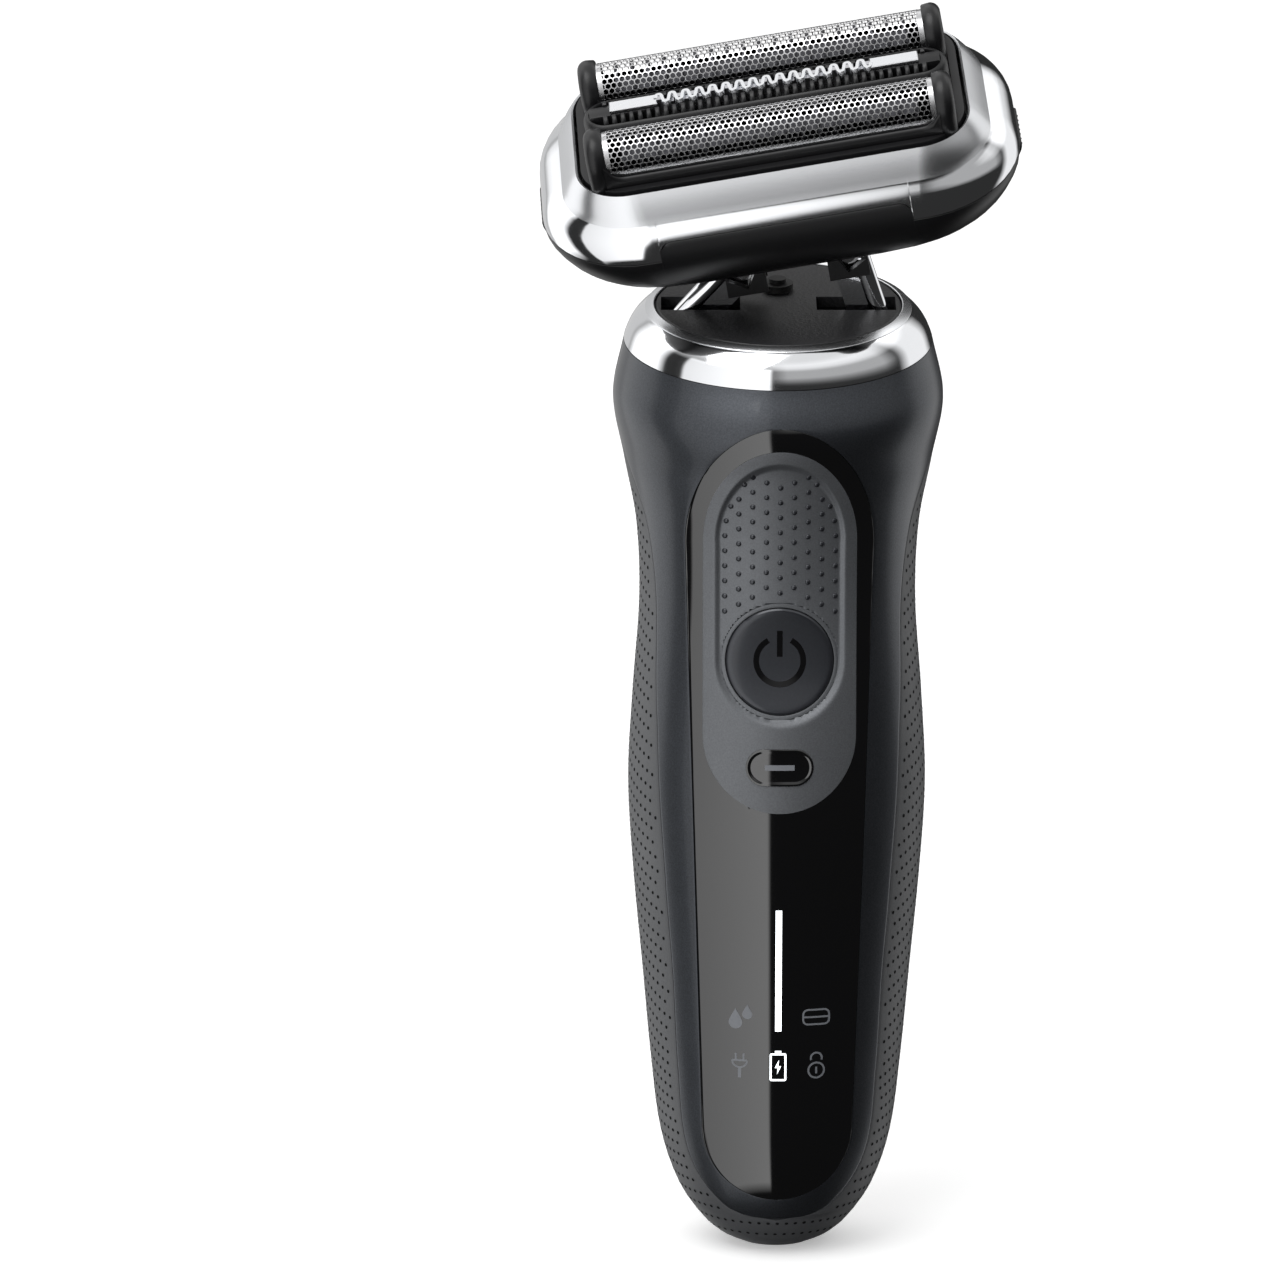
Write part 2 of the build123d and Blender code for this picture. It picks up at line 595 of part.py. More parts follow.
def make_cassette():
    """The tray that lifts off with the three floating elements."""
    outer = slab(OPEN_L - 0.3, OPEN_D - 0.3, 5.9, CASSETTE_LOW, -1.0)
    inner_u = UNIT_HALF_U + UNIT_GAP
    inner_v = OPEN_D - 0.3 - CASSETTE_WALL
    hollow = slab(inner_u, inner_v, 1.8, CASSETTE_LOW + 0.8, 1)
    lower = slab(inner_u - 1.6, inner_v - 0.6, 2.6, CASSETTE_LOW - 1, 0)
    save("cassette_frame", outer - hollow - lower, HEAD)


def dome(radius, half_u, low):
    """A bar with a round top, along u, standing on a level."""
    top = rod_x(radius, -half_u, half_u, 0, FOIL_W)
    return top + block(-half_u, half_u, -radius, radius, low, FOIL_W)


def foil_unit(side, name):
    """A foil in its frame with round end caps."""
    place = HEAD * Pos(0, side * FOIL_V, 0)
    rail_top = FOIL_W - 0.2
    outer = slab(UNIT_HALF_U, UNIT_HALF_V, 1.6, UNIT_LOW, rail_top)
    caps = dome(FOIL_R + 0.25, UNIT_HALF_U - 0.4, 0)
    caps = caps - block(-FOIL_HALF, FOIL_HALF, -5, 5, -1, 6)
    bore = dome(FOIL_R, FOIL_HALF, UNIT_LOW - 1)
    save(f"foil_frame_{name}", outer + caps - bore, place)
    sheet = dome(FOIL_R, FOIL_HALF, UNIT_LOW + 0.8) - dome(FOIL_R - FOIL_T, FOIL_HALF + 1, UNIT_LOW - 1)
    save(f"foil_{name}", sheet, place)


def cutter(name, side):
    """An inner cutter: a bar with a row of round-topped blades."""
    fin_r = FOIL_R - FOIL_T - 0.25
    place = HEAD * Pos(0, side * FOIL_V, 0)
    half = FIN_PITCH * (FINS - 1) / 2
    bar = block(-half - 0.4, half + 0.4, -1.5, 1.5, -1.8, FOIL_W)
    shape = bar
    for i in range(FINS):
        u = -half + FIN_PITCH * i
        fin = rod_x(fin_r, u - 0.2, u + 0.2, 0, FOIL_W) - block(u - 1, u + 1, -4, 4, -4, FOIL_W - 1.5)
        shape = shape + fin
    foot = block(-3.0, 3.0, -1.9, 1.9, -3.9, -1.7)
    socket = block(-0.95, 0.95, -0.95, 0.95, -5, -0.6)
    save(f"inner_cutter_{name}", shape + foot - socket, place)


def make_trimmer():
    """The middle element: a ribbed guard frame, a slotted comb and the blade that swings in it."""
    half_v = 3.15
    outer = slab(UNIT_HALF_U, half_v, 2.4, UNIT_LOW, 2.2)
    top = loft([
        Pos(0, 0, 2.2) * RectangleRounded(2 * UNIT_HALF_U, 2 * half_v, 2.4),
        Pos(0, 0, 3.3) * RectangleRounded(2 * UNIT_HALF_U - 1.2, 2 * half_v - 2.0, 1.8),
    ])
    groove = block(-20.4, 20.4, -0.95, 0.95, UNIT_LOW - 1, 5)
    ribs = fused(
        block(u - 0.3, u + 0.3, s * 3.2 - 0.55, s * 3.2 + 0.55, 0.2, 4)
        for s in (-1, 1) for u in [-17.6 + 1.1 * i for i in range(33)]
    )
    save("comb_frame", outer + top - groove - ribs, HEAD)

    cheek = 0.4
    comb = block(-20.4, 20.4, -0.95, 0.95, 2.5, 3.6) - block(-16.5, 16.5, -0.95 + cheek, 0.95 - cheek, 2, 5)
    gaps = fused(
        block(u - 0.45, u + 0.45, -2, 2, 3.0, 4)
        for u in [TOOTH_PITCH * (i - TEETH / 2 + 0.5) for i in range(TEETH)]
    )
    pads = fused(block(s * 18.4 - 2.0, s * 18.4 + 2.0, -0.95, 0.95, 1.6, 3.6) for s in (-1, 1))
    save("trimmer_comb", comb - gaps + pads, HEAD)

    spine = block(-14.8, 14.8, -0.35, 0.35, 0.2, 3.0)
    blades = fused(
        block(u - 0.5, u + 0.5, -0.35, 0.35, 2.9, 3.55)
        for u in [TOOTH_PITCH * (i - TEETH / 2 + 1) for i in range(TEETH - 1)]
    )
    foot = block(-1.6, 1.6, -0.75, 0.75, -4.8, 0.3) - block(-0.65, 0.65, -0.65, 0.65, -6, -2.2)
    save("trimmer_blade", spine + blades + foot, HEAD)


# ---------------------------------------------------------------- build
handle_cavity = make_handle()
make_electronics(handle_cavity)
make_neck()
make_cable()
make_arms()
make_cradle()
make_head_case()
make_release()
make_motor()
make_drives()
make_cassette()
for side_name, side_sign in (("front", -1), ("back", 1)):
    foil_unit(side_sign, side_name)
    cutter(side_name, side_sign)
make_trimmer()

# joint data in the handle's frame
swivel = (NECK * Pos(0, 0, PIVOT_T)).position
print("swivel point", swivel)
print("arm ratio", round(ARM_RATIO, 4), "arm length", round(ARM_LENGTH, 3))
for label, place in (("neck", NECK), ("cradle", CRADLE), ("head", HEAD)):
    frame_plane = Plane(place)
    print(label, frame_plane.x_dir, frame_plane.y_dir, frame_plane.z_dir, frame_plane.origin)
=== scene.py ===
import json
from math import acos, asin, copysign, cos, pi, radians, sin, sqrt, tanh

import bmesh
import bpy
from mathutils import Matrix, Vector


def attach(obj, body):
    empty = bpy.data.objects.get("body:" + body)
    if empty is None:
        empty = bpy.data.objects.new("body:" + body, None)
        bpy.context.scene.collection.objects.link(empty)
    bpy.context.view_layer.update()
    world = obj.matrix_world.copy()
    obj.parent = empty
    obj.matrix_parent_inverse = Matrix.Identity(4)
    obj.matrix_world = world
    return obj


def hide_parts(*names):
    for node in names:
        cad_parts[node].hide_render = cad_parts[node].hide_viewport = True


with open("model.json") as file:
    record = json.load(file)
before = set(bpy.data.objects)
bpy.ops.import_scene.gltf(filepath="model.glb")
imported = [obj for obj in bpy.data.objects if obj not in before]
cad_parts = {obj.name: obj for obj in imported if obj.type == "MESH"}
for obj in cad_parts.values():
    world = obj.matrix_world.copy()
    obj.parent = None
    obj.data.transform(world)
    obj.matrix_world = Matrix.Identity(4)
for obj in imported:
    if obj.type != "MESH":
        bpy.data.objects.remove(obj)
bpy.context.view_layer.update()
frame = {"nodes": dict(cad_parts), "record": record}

nodes = frame["nodes"]
MM = 0.001

# ------------------------------------------------ sizes shared with the CAD model (mm, degrees)
# the handle's sections: height, half-width, half-depth, forward slant, shift to the back
SECTIONS = (
    (0.0, 4.6, 4.4, 0.0, 0.0),
    (1.2, 7.2, 6.8, 0.0, 0.0),
    (3.5, 9.8, 9.2, 0.0, 0.0),
    (8.0, 12.8, 11.9, 0.0, 0.0),
    (15.0, 15.1, 14.0, 0.0, 0.0),
    (25.0, 16.4, 15.2, 0.0, 0.0),
    (37.0, 17.5, 16.2, 0.0, 0.0),
    (50.0, 18.7, 17.3, 0.0, 0.0),
    (62.0, 19.35, 17.9, 0.0, 0.0),
    (74.0, 18.75, 17.5, 0.0, 0.0),
    (86.0, 17.9, 16.9, 0.0, 0.0),
    (96.0, 18.3, 17.3, 1.5, 0.0),
    (104.5, 19.9, 18.7, 4.5, 0.0),
    (112.5, 21.3, 20.6, 9.0, 0.0),
    (119.615, 19.9, 19.9, 13.0, 1.012),
)
# the edge of the side grip: height, distance from the middle of the handle's side
GRIP_EDGE = (
    (3.8, 14.0), (5.1, 10.3), (8.0, 9.3), (14.0, 8.7), (25.0, 9.4), (43.0, 10.6), (62.0, 10.9),
    (81.0, 8.6), (94.0, 7.2), (101.0, 5.8), (105.2, 3.6), (107.2, 1.3), (107.7, 0.0),
)
GRIP_TOP = GRIP_EDGE[-1][0]
SHELL_LOW, SHELL_TOP = 5.35, SECTIONS[-1][0] - 0.12
FRONT = -pi / 2
# outlines on the front: round below, widening up to an elliptic arch
PANEL = {"low_r": 9.7, "low_z": 8.2, "top_w": 12.0, "arch_z": 95.0, "top_z": 110.4}
PAD = {"low_r": 9.8, "low_z": 60.6, "top_w": 9.8, "arch_z": 95.5, "top_z": 107.5}
RECESS = {"low_r": 8.4, "low_z": 71.7, "top_w": 8.4, "arch_z": 95.5, "top_z": 106.0}
BUTTON_Z, BUTTON_R = 80.1, 6.85
PILL_Z, BAR_Z = 66.6, 39.7
GROOVE = 0.09
# the head's opening, the upper and lower edge of its facet and the outside below:
# half-length, half-depth, corner radius, height
OPENING = (24.75, 12.3, 6.2)
FACET_TOP, FACET_LOW = (25.15, 12.7, 6.6, -1.25), (27.4, 15.0, 9.5, -4.6)
OUTER = (FACET_LOW, (29.7, 16.6, 12.0, -6.5), (30.6, 17.2, 13.0, -8.9), (30.1, 16.9, 13.0, -11.2),
         (27.6, 15.6, 12.2, -14.2), (22.2, 13.2, 11.0, -16.5))
# a foil: distance from the head's middle, radius, height of its axis, half-length
FOIL_V, FOIL_R, FOIL_W, FOIL_HALF = 7.2, 3.2, 1.2, 21.3
# where the neck tilts, and how the head hangs in its two pivots
NECK_TILT, NECK_Z = 13.0, 124.0
ROLL, PITCH, PIVOT_T, PIVOT_W = 10.0, 19.0, 18.4, -10.5

NECK = Matrix.Translation((0, 0, NECK_Z)) @ Matrix.Rotation(radians(NECK_TILT), 4, "X")
CRADLE = NECK @ Matrix.Translation((0, 0, PIVOT_T)) @ Matrix.Rotation(radians(-ROLL), 4, "Y")
HEAD = CRADLE @ Matrix.Rotation(radians(PITCH), 4, "X") @ Matrix.Translation((0, 0, -PIVOT_W))


# ------------------------------------------------ materials
def shader(name):
    """A new material with its Principled shader, node tree and object coordinates."""
    mat = bpy.data.materials.new(name)
    mat.use_nodes = True
    tree = mat.node_tree
    coords = tree.nodes.new("ShaderNodeTexCoord")
    return mat, tree, tree.nodes["Principled BSDF"], coords.outputs["Object"]


def noise_node(tree, vector, scale, detail=3.0):
    """Noise at a number of grains per metre."""
    node = tree.nodes.new("ShaderNodeTexNoise")
    node.inputs["Scale"].default_value = scale
    node.inputs["Detail"].default_value = detail
    tree.links.new(vector, node.inputs["Vector"])
    return node.outputs["Fac"]


def remap(tree, value, low, high, start=0.3, end=0.7):
    """A value that goes from low to high while the input goes from start to end."""
    node = tree.nodes.new("ShaderNodeMapRange")
    node.inputs["From Min"].default_value = start
    node.inputs["From Max"].default_value = end
    node.inputs["To Min"].default_value = low
    node.inputs["To Max"].default_value = high
    tree.links.new(value, node.inputs["Value"])
    return node.outputs["Result"]


def blend_colour(tree, factor, first, second):
    """A colour between two colours."""
    node = tree.nodes.new("ShaderNodeMix")
    node.data_type = "RGBA"
    node.inputs["A"].default_value = (*first, 1)
    node.inputs["B"].default_value = (*second, 1)
    tree.links.new(factor, node.inputs["Factor"])
    return node.outputs["Result"]


def bump(tree, height, strength, distance):
    """The normal of a fine relief."""
    node = tree.nodes.new("ShaderNodeBump")
    node.inputs["Strength"].default_value = strength
    node.inputs["Distance"].default_value = distance
    tree.links.new(height, node.inputs["Height"])
    return node.outputs["Normal"]


def finish(name, colour, rough, metal=0.0, coat=0.0, grain=3000.0, spread=0.12, relief=0.06,
           depth=0.00004, rough_spread=0.08, stretch=None, specular=0.5):
    """A procedural finish: mottled colour, uneven roughness and a fine relief."""
    mat, tree, bsdf, coords = shader(name)
    if stretch is not None:
        mapping = tree.nodes.new("ShaderNodeMapping")
        mapping.inputs["Scale"].default_value = stretch
        tree.links.new(coords, mapping.inputs["Vector"])
        coords = mapping.outputs["Vector"]
    fine = noise_node(tree, coords, grain)
    broad = noise_node(tree, coords, 90.0, 4.0)
    darker = tuple(max(0.0, c * (1 - spread)) for c in colour)
    lighter = tuple(min(1.0, c * (1 + spread)) for c in colour)
    uneven = remap(tree, broad, rough * (1 - rough_spread), rough * (1 + rough_spread))
    tree.links.new(blend_colour(tree, fine, darker, lighter), bsdf.inputs["Base Color"])
    tree.links.new(uneven, bsdf.inputs["Roughness"])
    tree.links.new(bump(tree, fine, relief, depth), bsdf.inputs["Normal"])
    bsdf.inputs["Metallic"].default_value = metal
    bsdf.inputs["Coat Weight"].default_value = coat
    bsdf.inputs["Coat Roughness"].default_value = 0.08
    bsdf.inputs["Specular IOR Level"].default_value = specular
    return mat


def glowing(name, colour, strength):
    """A lit light guide with a slightly uneven glow."""
    mat, tree, bsdf, coords = shader(name)
    fine = noise_node(tree, coords, 500.0)
    tone = blend_colour(tree, fine, tuple(c * 0.93 for c in colour), colour)
    tree.links.new(tone, bsdf.inputs["Base Color"])
    tree.links.new(tone, bsdf.inputs["Emission Color"])
    bsdf.inputs["Emission Strength"].default_value = strength
    bsdf.inputs["Roughness"].default_value = 0.3
    return mat


FINISHES = {
    "metal_shell": dict(colour=(0.056, 0.061, 0.070), rough=0.36, metal=0.7, coat=0.25, grain=5200,
                        spread=0.5, relief=0.05),
    "rear_plastic": dict(colour=(0.022, 0.023, 0.026), rough=0.45, grain=2400, relief=0.15),
    "grip_rubber": dict(colour=(0.085, 0.088, 0.093), rough=0.50, grain=2600, relief=0.25),
    "gloss_panel": dict(colour=(0.0030, 0.0030, 0.0036), rough=0.05, coat=0.6, grain=700, relief=0.0,
                        specular=1.0),
    "pad_grey": dict(colour=(0.150, 0.157, 0.168), rough=0.46, metal=0.45, grain=5200, spread=0.30,
                     relief=0.10),
    "button_dark": dict(colour=(0.045, 0.048, 0.056), rough=0.30, metal=0.45, coat=0.3, grain=3200,
                        relief=0.02),
    "light_window": dict(colour=(0.62, 0.65, 0.68), rough=0.35, grain=1500, relief=0.02),
    "black_plastic": dict(colour=(0.010, 0.010, 0.011), rough=0.36, grain=3600, relief=0.08,
                          specular=0.4),
    "chrome": dict(colour=(0.84, 0.85, 0.87), rough=0.085, metal=1.0, grain=900, spread=0.01,
                   relief=0.0),
    "satin_chrome": dict(colour=(0.78, 0.79, 0.81), rough=0.27, metal=1.0, grain=900, spread=0.01,
                         relief=0.0, rough_spread=0.02),
    "foil_steel": dict(colour=(0.62, 0.62, 0.63), rough=0.24, metal=1.0, spread=0.05, relief=0.02),
    "steel": dict(colour=(0.52, 0.52, 0.54), rough=0.30, metal=1.0, grain=1800, relief=0.05,
                  stretch=(1, 8, 8)),
    "screw_steel": dict(colour=(0.40, 0.40, 0.42), rough=0.32, metal=1.0, grain=2500),
    "board_green": dict(colour=(0.012, 0.10, 0.045), rough=0.40, grain=900, spread=0.4),
    "chip_black": dict(colour=(0.02, 0.02, 0.02), rough=0.5, grain=2500),
    "cell_wrap": dict(colour=(0.04, 0.10, 0.28), rough=0.30, grain=900),
    "copper": dict(colour=(0.72, 0.33, 0.17), rough=0.30, metal=1.0, grain=2600, stretch=(1, 1, 9),
                   relief=0.3),
    "gold_contact": dict(colour=(0.90, 0.66, 0.28), rough=0.22, metal=1.0, grain=1500),
    "bearing_plastic": dict(colour=(0.66, 0.65, 0.60), rough=0.45, grain=1600),
    "seal_rubber": dict(colour=(0.02, 0.02, 0.02), rough=0.6, grain=2200),
    "disc_grain": dict(colour=(0.028, 0.028, 0.030), rough=0.42, grain=2100, spread=0.3, relief=0.55,
                       depth=0.00012),
    "cutter_dark": dict(colour=(0.09, 0.09, 0.10), rough=0.38, metal=1.0, grain=1500, relief=0.05),
    # the grip dimples' near-black colour is painted shade, standing in for hollows that are drawn almost flat
    "dimple_painted_shade": dict(colour=(0.005, 0.005, 0.005), rough=0.8, grain=2500, specular=0.1),
    "print_grey": dict(colour=(0.20, 0.21, 0.23), rough=0.4, grain=2500),
}
MATERIALS = {name: finish(name, **settings) for name, settings in FINISHES.items()}
MATERIALS["lit_window"] = glowing("lit_window", (0.92, 0.97, 1.0), 2.0)

for sub in frame["record"]["subparts"]:
    cad = nodes[sub["node"]]
    cad.data.materials.clear()
    cad.data.materials.append(MATERIALS[sub["material_slot"]])
    for polygon in cad.data.polygons:
        polygon.material_index = 0
nodes["neck_disc"].data.materials[0] = MATERIALS["disc_grain"]
for name in ("inner_cutter_front", "inner_cutter_back"):
    nodes[name].data.materials[0] = MATERIALS["cutter_dark"]


# ------------------------------------------------ mesh helpers
def add_piece(name, points, faces, finish_name, body, replaced=None, crease=38.0, bevel=0.0,
              thickness=0.0):
    """A finished piece from points in millimetres: welded, smooth-shaded, riding on a body.

    A thickness grows inward.
    """
    mesh = bpy.data.meshes.new(name)
    mesh.from_pydata([Vector(p) * MM for p in points], [], faces)
    piece = bpy.data.objects.new(name, mesh)
    bpy.context.scene.collection.objects.link(piece)
    mesh.materials.append(MATERIALS[finish_name])
    weld(mesh, axial=body in ("handle", "power_button"))
    if thickness:
        solid = piece.modifiers.new("thickness", "SOLIDIFY")
        solid.thickness = thickness * MM
        solid.offset = -1.0
        solid.use_even_offset = True
    if bevel:
        edge = piece.modifiers.new("edges", "BEVEL")
        edge.width = bevel * MM
        edge.segments = 2
        edge.limit_method = "ANGLE"
        edge.angle_limit = radians(50)
    if thickness or bevel:
        bake_modifiers(piece)
    piece.data.shade_smooth()
    piece.data.set_sharp_from_angle(angle=radians(crease))
    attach(piece, body)
    if replaced:
        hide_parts(replaced)
    return piece


def bake_modifiers(piece):
    """Replaces the piece's mesh by its modified one."""
    graph = bpy.context.evaluated_depsgraph_get()
    made = bpy.data.meshes.new_from_object(piece.evaluated_get(graph))
    piece.modifiers.clear()
    old = piece.data
    piece.data = made
    made.name = piece.name
    bpy.data.meshes.remove(old)


def weld(mesh, axial):
    """Joins equal points and turns the faces outward.

    Outward is away from the handle's axis, or away from the piece's own middle.
    """
    work = bmesh.new()
    work.from_mesh(mesh)
    bmesh.ops.remove_doubles(work, verts=work.verts, dist=0.002 * MM)
    bmesh.ops.dissolve_degenerate(work, dist=0.0005 * MM, edges=work.edges)
    bmesh.ops.recalc_face_normals(work, faces=work.faces)
    middle = sum((v.co for v in work.verts), Vector()) / len(work.verts)
    outward = 0.0
    for face in work.faces:
        centre = face.calc_center_median()
        away = Vector((centre.x, centre.y, 0)) if axial else centre - middle
        outward += face.calc_area() * face.normal.dot(away)
    if outward < 0:
        bmesh.ops.reverse_faces(work, faces=work.faces)
    work.to_mesh(mesh)
    work.free()


def grid_faces(rows, cols, start=0, closed=False):
    """Quads of a grid of points stored row by row."""
    faces = []
    for i in range(rows - 1):
        row = start + i * cols
        above = row + cols
        for j in range(cols if closed else cols - 1):
            k = (j + 1) % cols
            faces.append((row + j, row + k, above + k, above + j))
    return faces


def joined(rings):
    """The points of several rings in one list."""
    return [point for ring in rings for point in ring]


def placed(points, matrix):
    """The points moved by a matrix."""
    return [matrix @ Vector(p) for p in points]


def eased(low, high, count):
    """Values from low to high, closer together at both ends."""
    return [low + (high - low) * (1 - cos(pi * i / (count - 1))) / 2 for i in range(count)]


# ------------------------------------------------ handle surface
def curve_at(table, key, column):
    """Smooth interpolation of a column of a table sorted by its first column."""
    key = min(max(key, table[0][0]), table[-1][0])
    i = max(k for k in range(len(table) - 1) if table[k][0] <= key)
    low, high = table[i], table[i + 1]
    span = high[0] - low[0]
    t = (key - low[0]) / span
    before = table[i - 1] if i > 0 else low
    after = table[i + 2] if i + 2 < len(table) else high
    start = (high[column] - before[column]) / (high[0] - before[0]) * span
    end = (after[column] - low[column]) / (after[0] - low[0]) * span
    a, b = low[column], high[column]
    return a + t * start + t * t * (3 * (b - a) - 2 * start - end) + t ** 3 * (2 * (a - b) + start + end)


def on_handle(theta, s, depth=0.0):
    """A point of the handle, or under it: theta -90 degrees is the front, s is the section's height."""
    half_w = curve_at(SECTIONS, s, 1) - depth
    half_d = curve_at(SECTIONS, s, 2) - depth
    tilt = radians(curve_at(SECTIONS, s, 3))
    y = half_d * sin(theta)
    return Vector((half_w * cos(theta), curve_at(SECTIONS, s, 4) + y * cos(tilt), s + y * sin(tilt)))


def outline_width(shape, z):
    """Half-width of a panel outline at a height: round below, an elliptic arch above."""
    base = shape["low_z"] + shape["low_r"]
    if z < base:
        return sqrt(max(0.0, shape["low_r"] ** 2 - (base - z) ** 2))
    if z > shape["arch_z"]:
        rise = (z - shape["arch_z"]) / (shape["top_z"] - shape["arch_z"])
        return shape["top_w"] * sqrt(max(0.0, 1 - rise * rise))
    return shape["low_r"] + (shape["top_w"] - shape["low_r"]) * (z - base) / (shape["arch_z"] - base)


def outline_margin(shape, x, z):
    """How far a place in the front view lies inside a panel outline."""
    base = shape["low_z"] + shape["low_r"]
    if z < base:
        return shape["low_r"] - sqrt(x * x + (z - base) ** 2)
    if z > shape["arch_z"]:
        rise = shape["top_z"] - shape["arch_z"]
        radius = sqrt((x / shape["top_w"]) ** 2 + ((z - shape["arch_z"]) / rise) ** 2)
        return (1 - radius) * (shape["top_w"] + rise) / 2
    return outline_width(shape, z) - abs(x)


def edge_angle(s, width_of):
    """The front-right angle at which the half-width at this section equals width_of(height)."""
    low, high = FRONT, 0.0
    for _ in range(30):
        middle = (low + high) / 2
        point = on_handle(middle, s)
        if point.x < width_of(point.z):
            low = middle
        else:
            high = middle
    return low


def grip_angle(s, gap):
    """Half the angle that the side grip takes at this section."""
    half_d = curve_at(SECTIONS, s, 2)
    reach = curve_at(GRIP_EDGE, s, 1) if s < GRIP_TOP else 0.0
    return asin(min(1.0, max(0.0, (reach + gap) / half_d)))


def section_for(theta, z):
    """The section whose point at this angle has the given height."""
    s = z
    for _ in range(12):
        s += z - on_handle(theta, s).z
    return s


def surface_xz(x, z, depth=0.0):
    """The point of the handle's front above a place in its front view."""
    theta = FRONT
    s = z
    for _ in range(12):
        half_w = curve_at(SECTIONS, s, 1)
        theta = -acos(max(-1.0, min(1.0, x / half_w)))
        s += z - on_handle(theta, s).z
    return on_handle(theta, s) + Vector((0, depth, 0))


def smooth(value, low, high):
    """An S-shaped rise from 0 at low to 1 at high."""
    t = min(1.0, max(0.0, (value - low) / (high - low)))
    return t * t * (3 - 2 * t)


def patch(name, sections, limits, columns, finish_name, replaced, depth_of=None, thickness=1.2, bevel=0.12):
    """A skin of the handle between two angles at each section."""
    points = []
    for s in sections:
        first, last = limits(s)
        for j in range(columns):
            theta = first + (last - first) * j / (columns - 1)
            point = on_handle(theta, s)
            if depth_of:
                point.y += depth_of(point)
            points.append(point)
    faces = grid_faces(len(sections), columns)
    add_piece(name, points, faces, finish_name, "handle", replaced, bevel=bevel, thickness=thickness)


PANEL_TOP_S = section_for(FRONT, PANEL["top_z"])


def panel_angle(s, shape=PANEL, gap=GROOVE):
    """The front-right angle of a panel's edge at a section."""
    return edge_angle(s, lambda z: outline_width(shape, z) + gap)


def front_shell():
    """Two halves of the metallic front with the panel left out, welded along the middle."""
    columns = 19
    low, high = PANEL["low_z"] - GROOVE, PANEL_TOP_S + GROOVE
    sections = eased(SHELL_LOW, low, 8) + eased(low + 0.02, high, 120) + eased(high + 0.02, SHELL_TOP, 14)
    points, faces = [], []
    for side in (1, -1):
        start = len(points)
        for s in sections:
            inner = panel_angle(s) if low < s < high else FRONT
            outer = -grip_angle(s, GROOVE) if s < GRIP_TOP + 0.3 else -0.004
            outer = max(outer, inner)
            for j in range(columns):
                theta = inner + (outer - inner) * j / (columns - 1)
                points.append(on_handle(theta if side > 0 else -pi - theta, s))
        faces += grid_faces(len(sections), columns, start)
    add_piece("front_shell_skin", points, faces, "metal_shell", "handle", "front_shell", bevel=0.1,
              thickness=1.3)


def back_shell():
    """The plastic back between the two sides of the grip."""
    def limits(s):
        start = grip_angle(s, GROOVE) if s < GRIP_TOP + 0.3 else 0.004
        return start, pi - start
    patch("back_shell_skin", eased(SHELL_LOW, SHELL_TOP, 110), limits, 61, "rear_plastic", "back_shell",
          thickness=1.3, bevel=0.1)


def side_grip():
    """The rubber U: both sides and the rounded lower end round the charging socket."""
    sections = eased(0.0, 12.0, 26)[:-1] + eased(12.0, GRIP_TOP - 0.05, 100)
    count = 41
    socket_half, socket_r = 1.7, 2.75
    points, faces = [], []
    for side in (0, 1):
        start = len(points)
        for j in range(count):
            theta = FRONT + pi * j / (count - 1) + pi * side
            flat = max(-1, min(1, cos(theta) * 1.6)) * socket_half
            points.append(Vector((flat + socket_r * cos(theta), socket_r * sin(theta), 0.0)))
        for s in sections:
            half = grip_angle(s, 0.0)
            for j in range(count):
                theta = -half + 2 * half * j / (count - 1) + pi * side
                points.append(on_handle(theta, s))
        faces += grid_faces(len(sections) + 1, count, start)
    add_piece("side_grip_skin", points, faces, "grip_rubber", "handle", "side_grip", bevel=0.12,
              thickness=1.1)


def pad_depth(point):
    """How far the thumb pad sinks: a shallow recess and the button's well, on a slightly raised pad."""
    raised, recess, well = 0.10, 0.62, 1.9
    depth = -raised + recess * smooth(outline_margin(RECESS, point.x, point.z), 0.0, 0.9)
    radius = sqrt(point.x ** 2 + (point.z - BUTTON_Z) ** 2)
    return depth + well * (1 - smooth(radius, BUTTON_R + 0.25, BUTTON_R + 0.55))


def display_panel():
    """The glossy panel, sunk under the thumb pad."""
    sunk = 3.6
    sections = eased(PANEL["low_z"] + 0.02, PANEL_TOP_S - 0.02, 150)

    def limits(s):
        edge = panel_angle(s, gap=0.0)
        return edge, -pi - edge

    def depth(point):
        return sunk * smooth(outline_margin(PAD, point.x, point.z), 1.0, 2.2)
    patch("display_panel_skin", sections, limits, 73, "gloss_panel", "display_panel", depth_of=depth,
          thickness=0.8, bevel=0.14)


def thumb_pad():
    """The grey pad round the button, with its recessed thumb rest above."""
    top = section_for(FRONT, PAD["top_z"])

    def limits(s):
        edge = panel_angle(s, PAD, 0.0)
        return edge, -pi - edge
    patch("thumb_pad_skin", eased(PAD["low_z"] + 0.02, top - 0.02, 190), limits, 91, "pad_grey",
          "thumb_pad", depth_of=pad_depth, thickness=0.7, bevel=0.09)


def circle_on_front(x, z, radius, depth_of, count):
    """A ring of points on the front."""
    ring = []
    for j in range(count):
        turn = 2 * pi * j / count
        px, pz = x + radius * cos(turn), z + radius * sin(turn)
        ring.append(surface_xz(px, pz, depth_of(px, pz)))
    return ring


def button_dish(x, z):
    """Depth of the button's hollow top at a place."""
    reach = min(1.0, sqrt(x * x + (z - BUTTON_Z) ** 2) / BUTTON_R)
    return 0.40 + 1.0 * (1 - reach ** 2) ** 1.15


def power_button():
    """The hollow round button with a softened edge."""
    rings, count, soft = 26, 96, 0.45
    points = []
    for i in range(rings + 1):
        radius = BUTTON_R * i / rings
        edge = 0.3 * smooth(radius, BUTTON_R - soft, BUTTON_R) ** 2
        points += circle_on_front(0, BUTTON_Z, radius, lambda x, z: button_dish(x, z) + edge, count)
    add_piece("power_button_cap", points, grid_faces(rings + 1, count, closed=True), "button_dark",
              "power_button", "power_button", thickness=0.4)


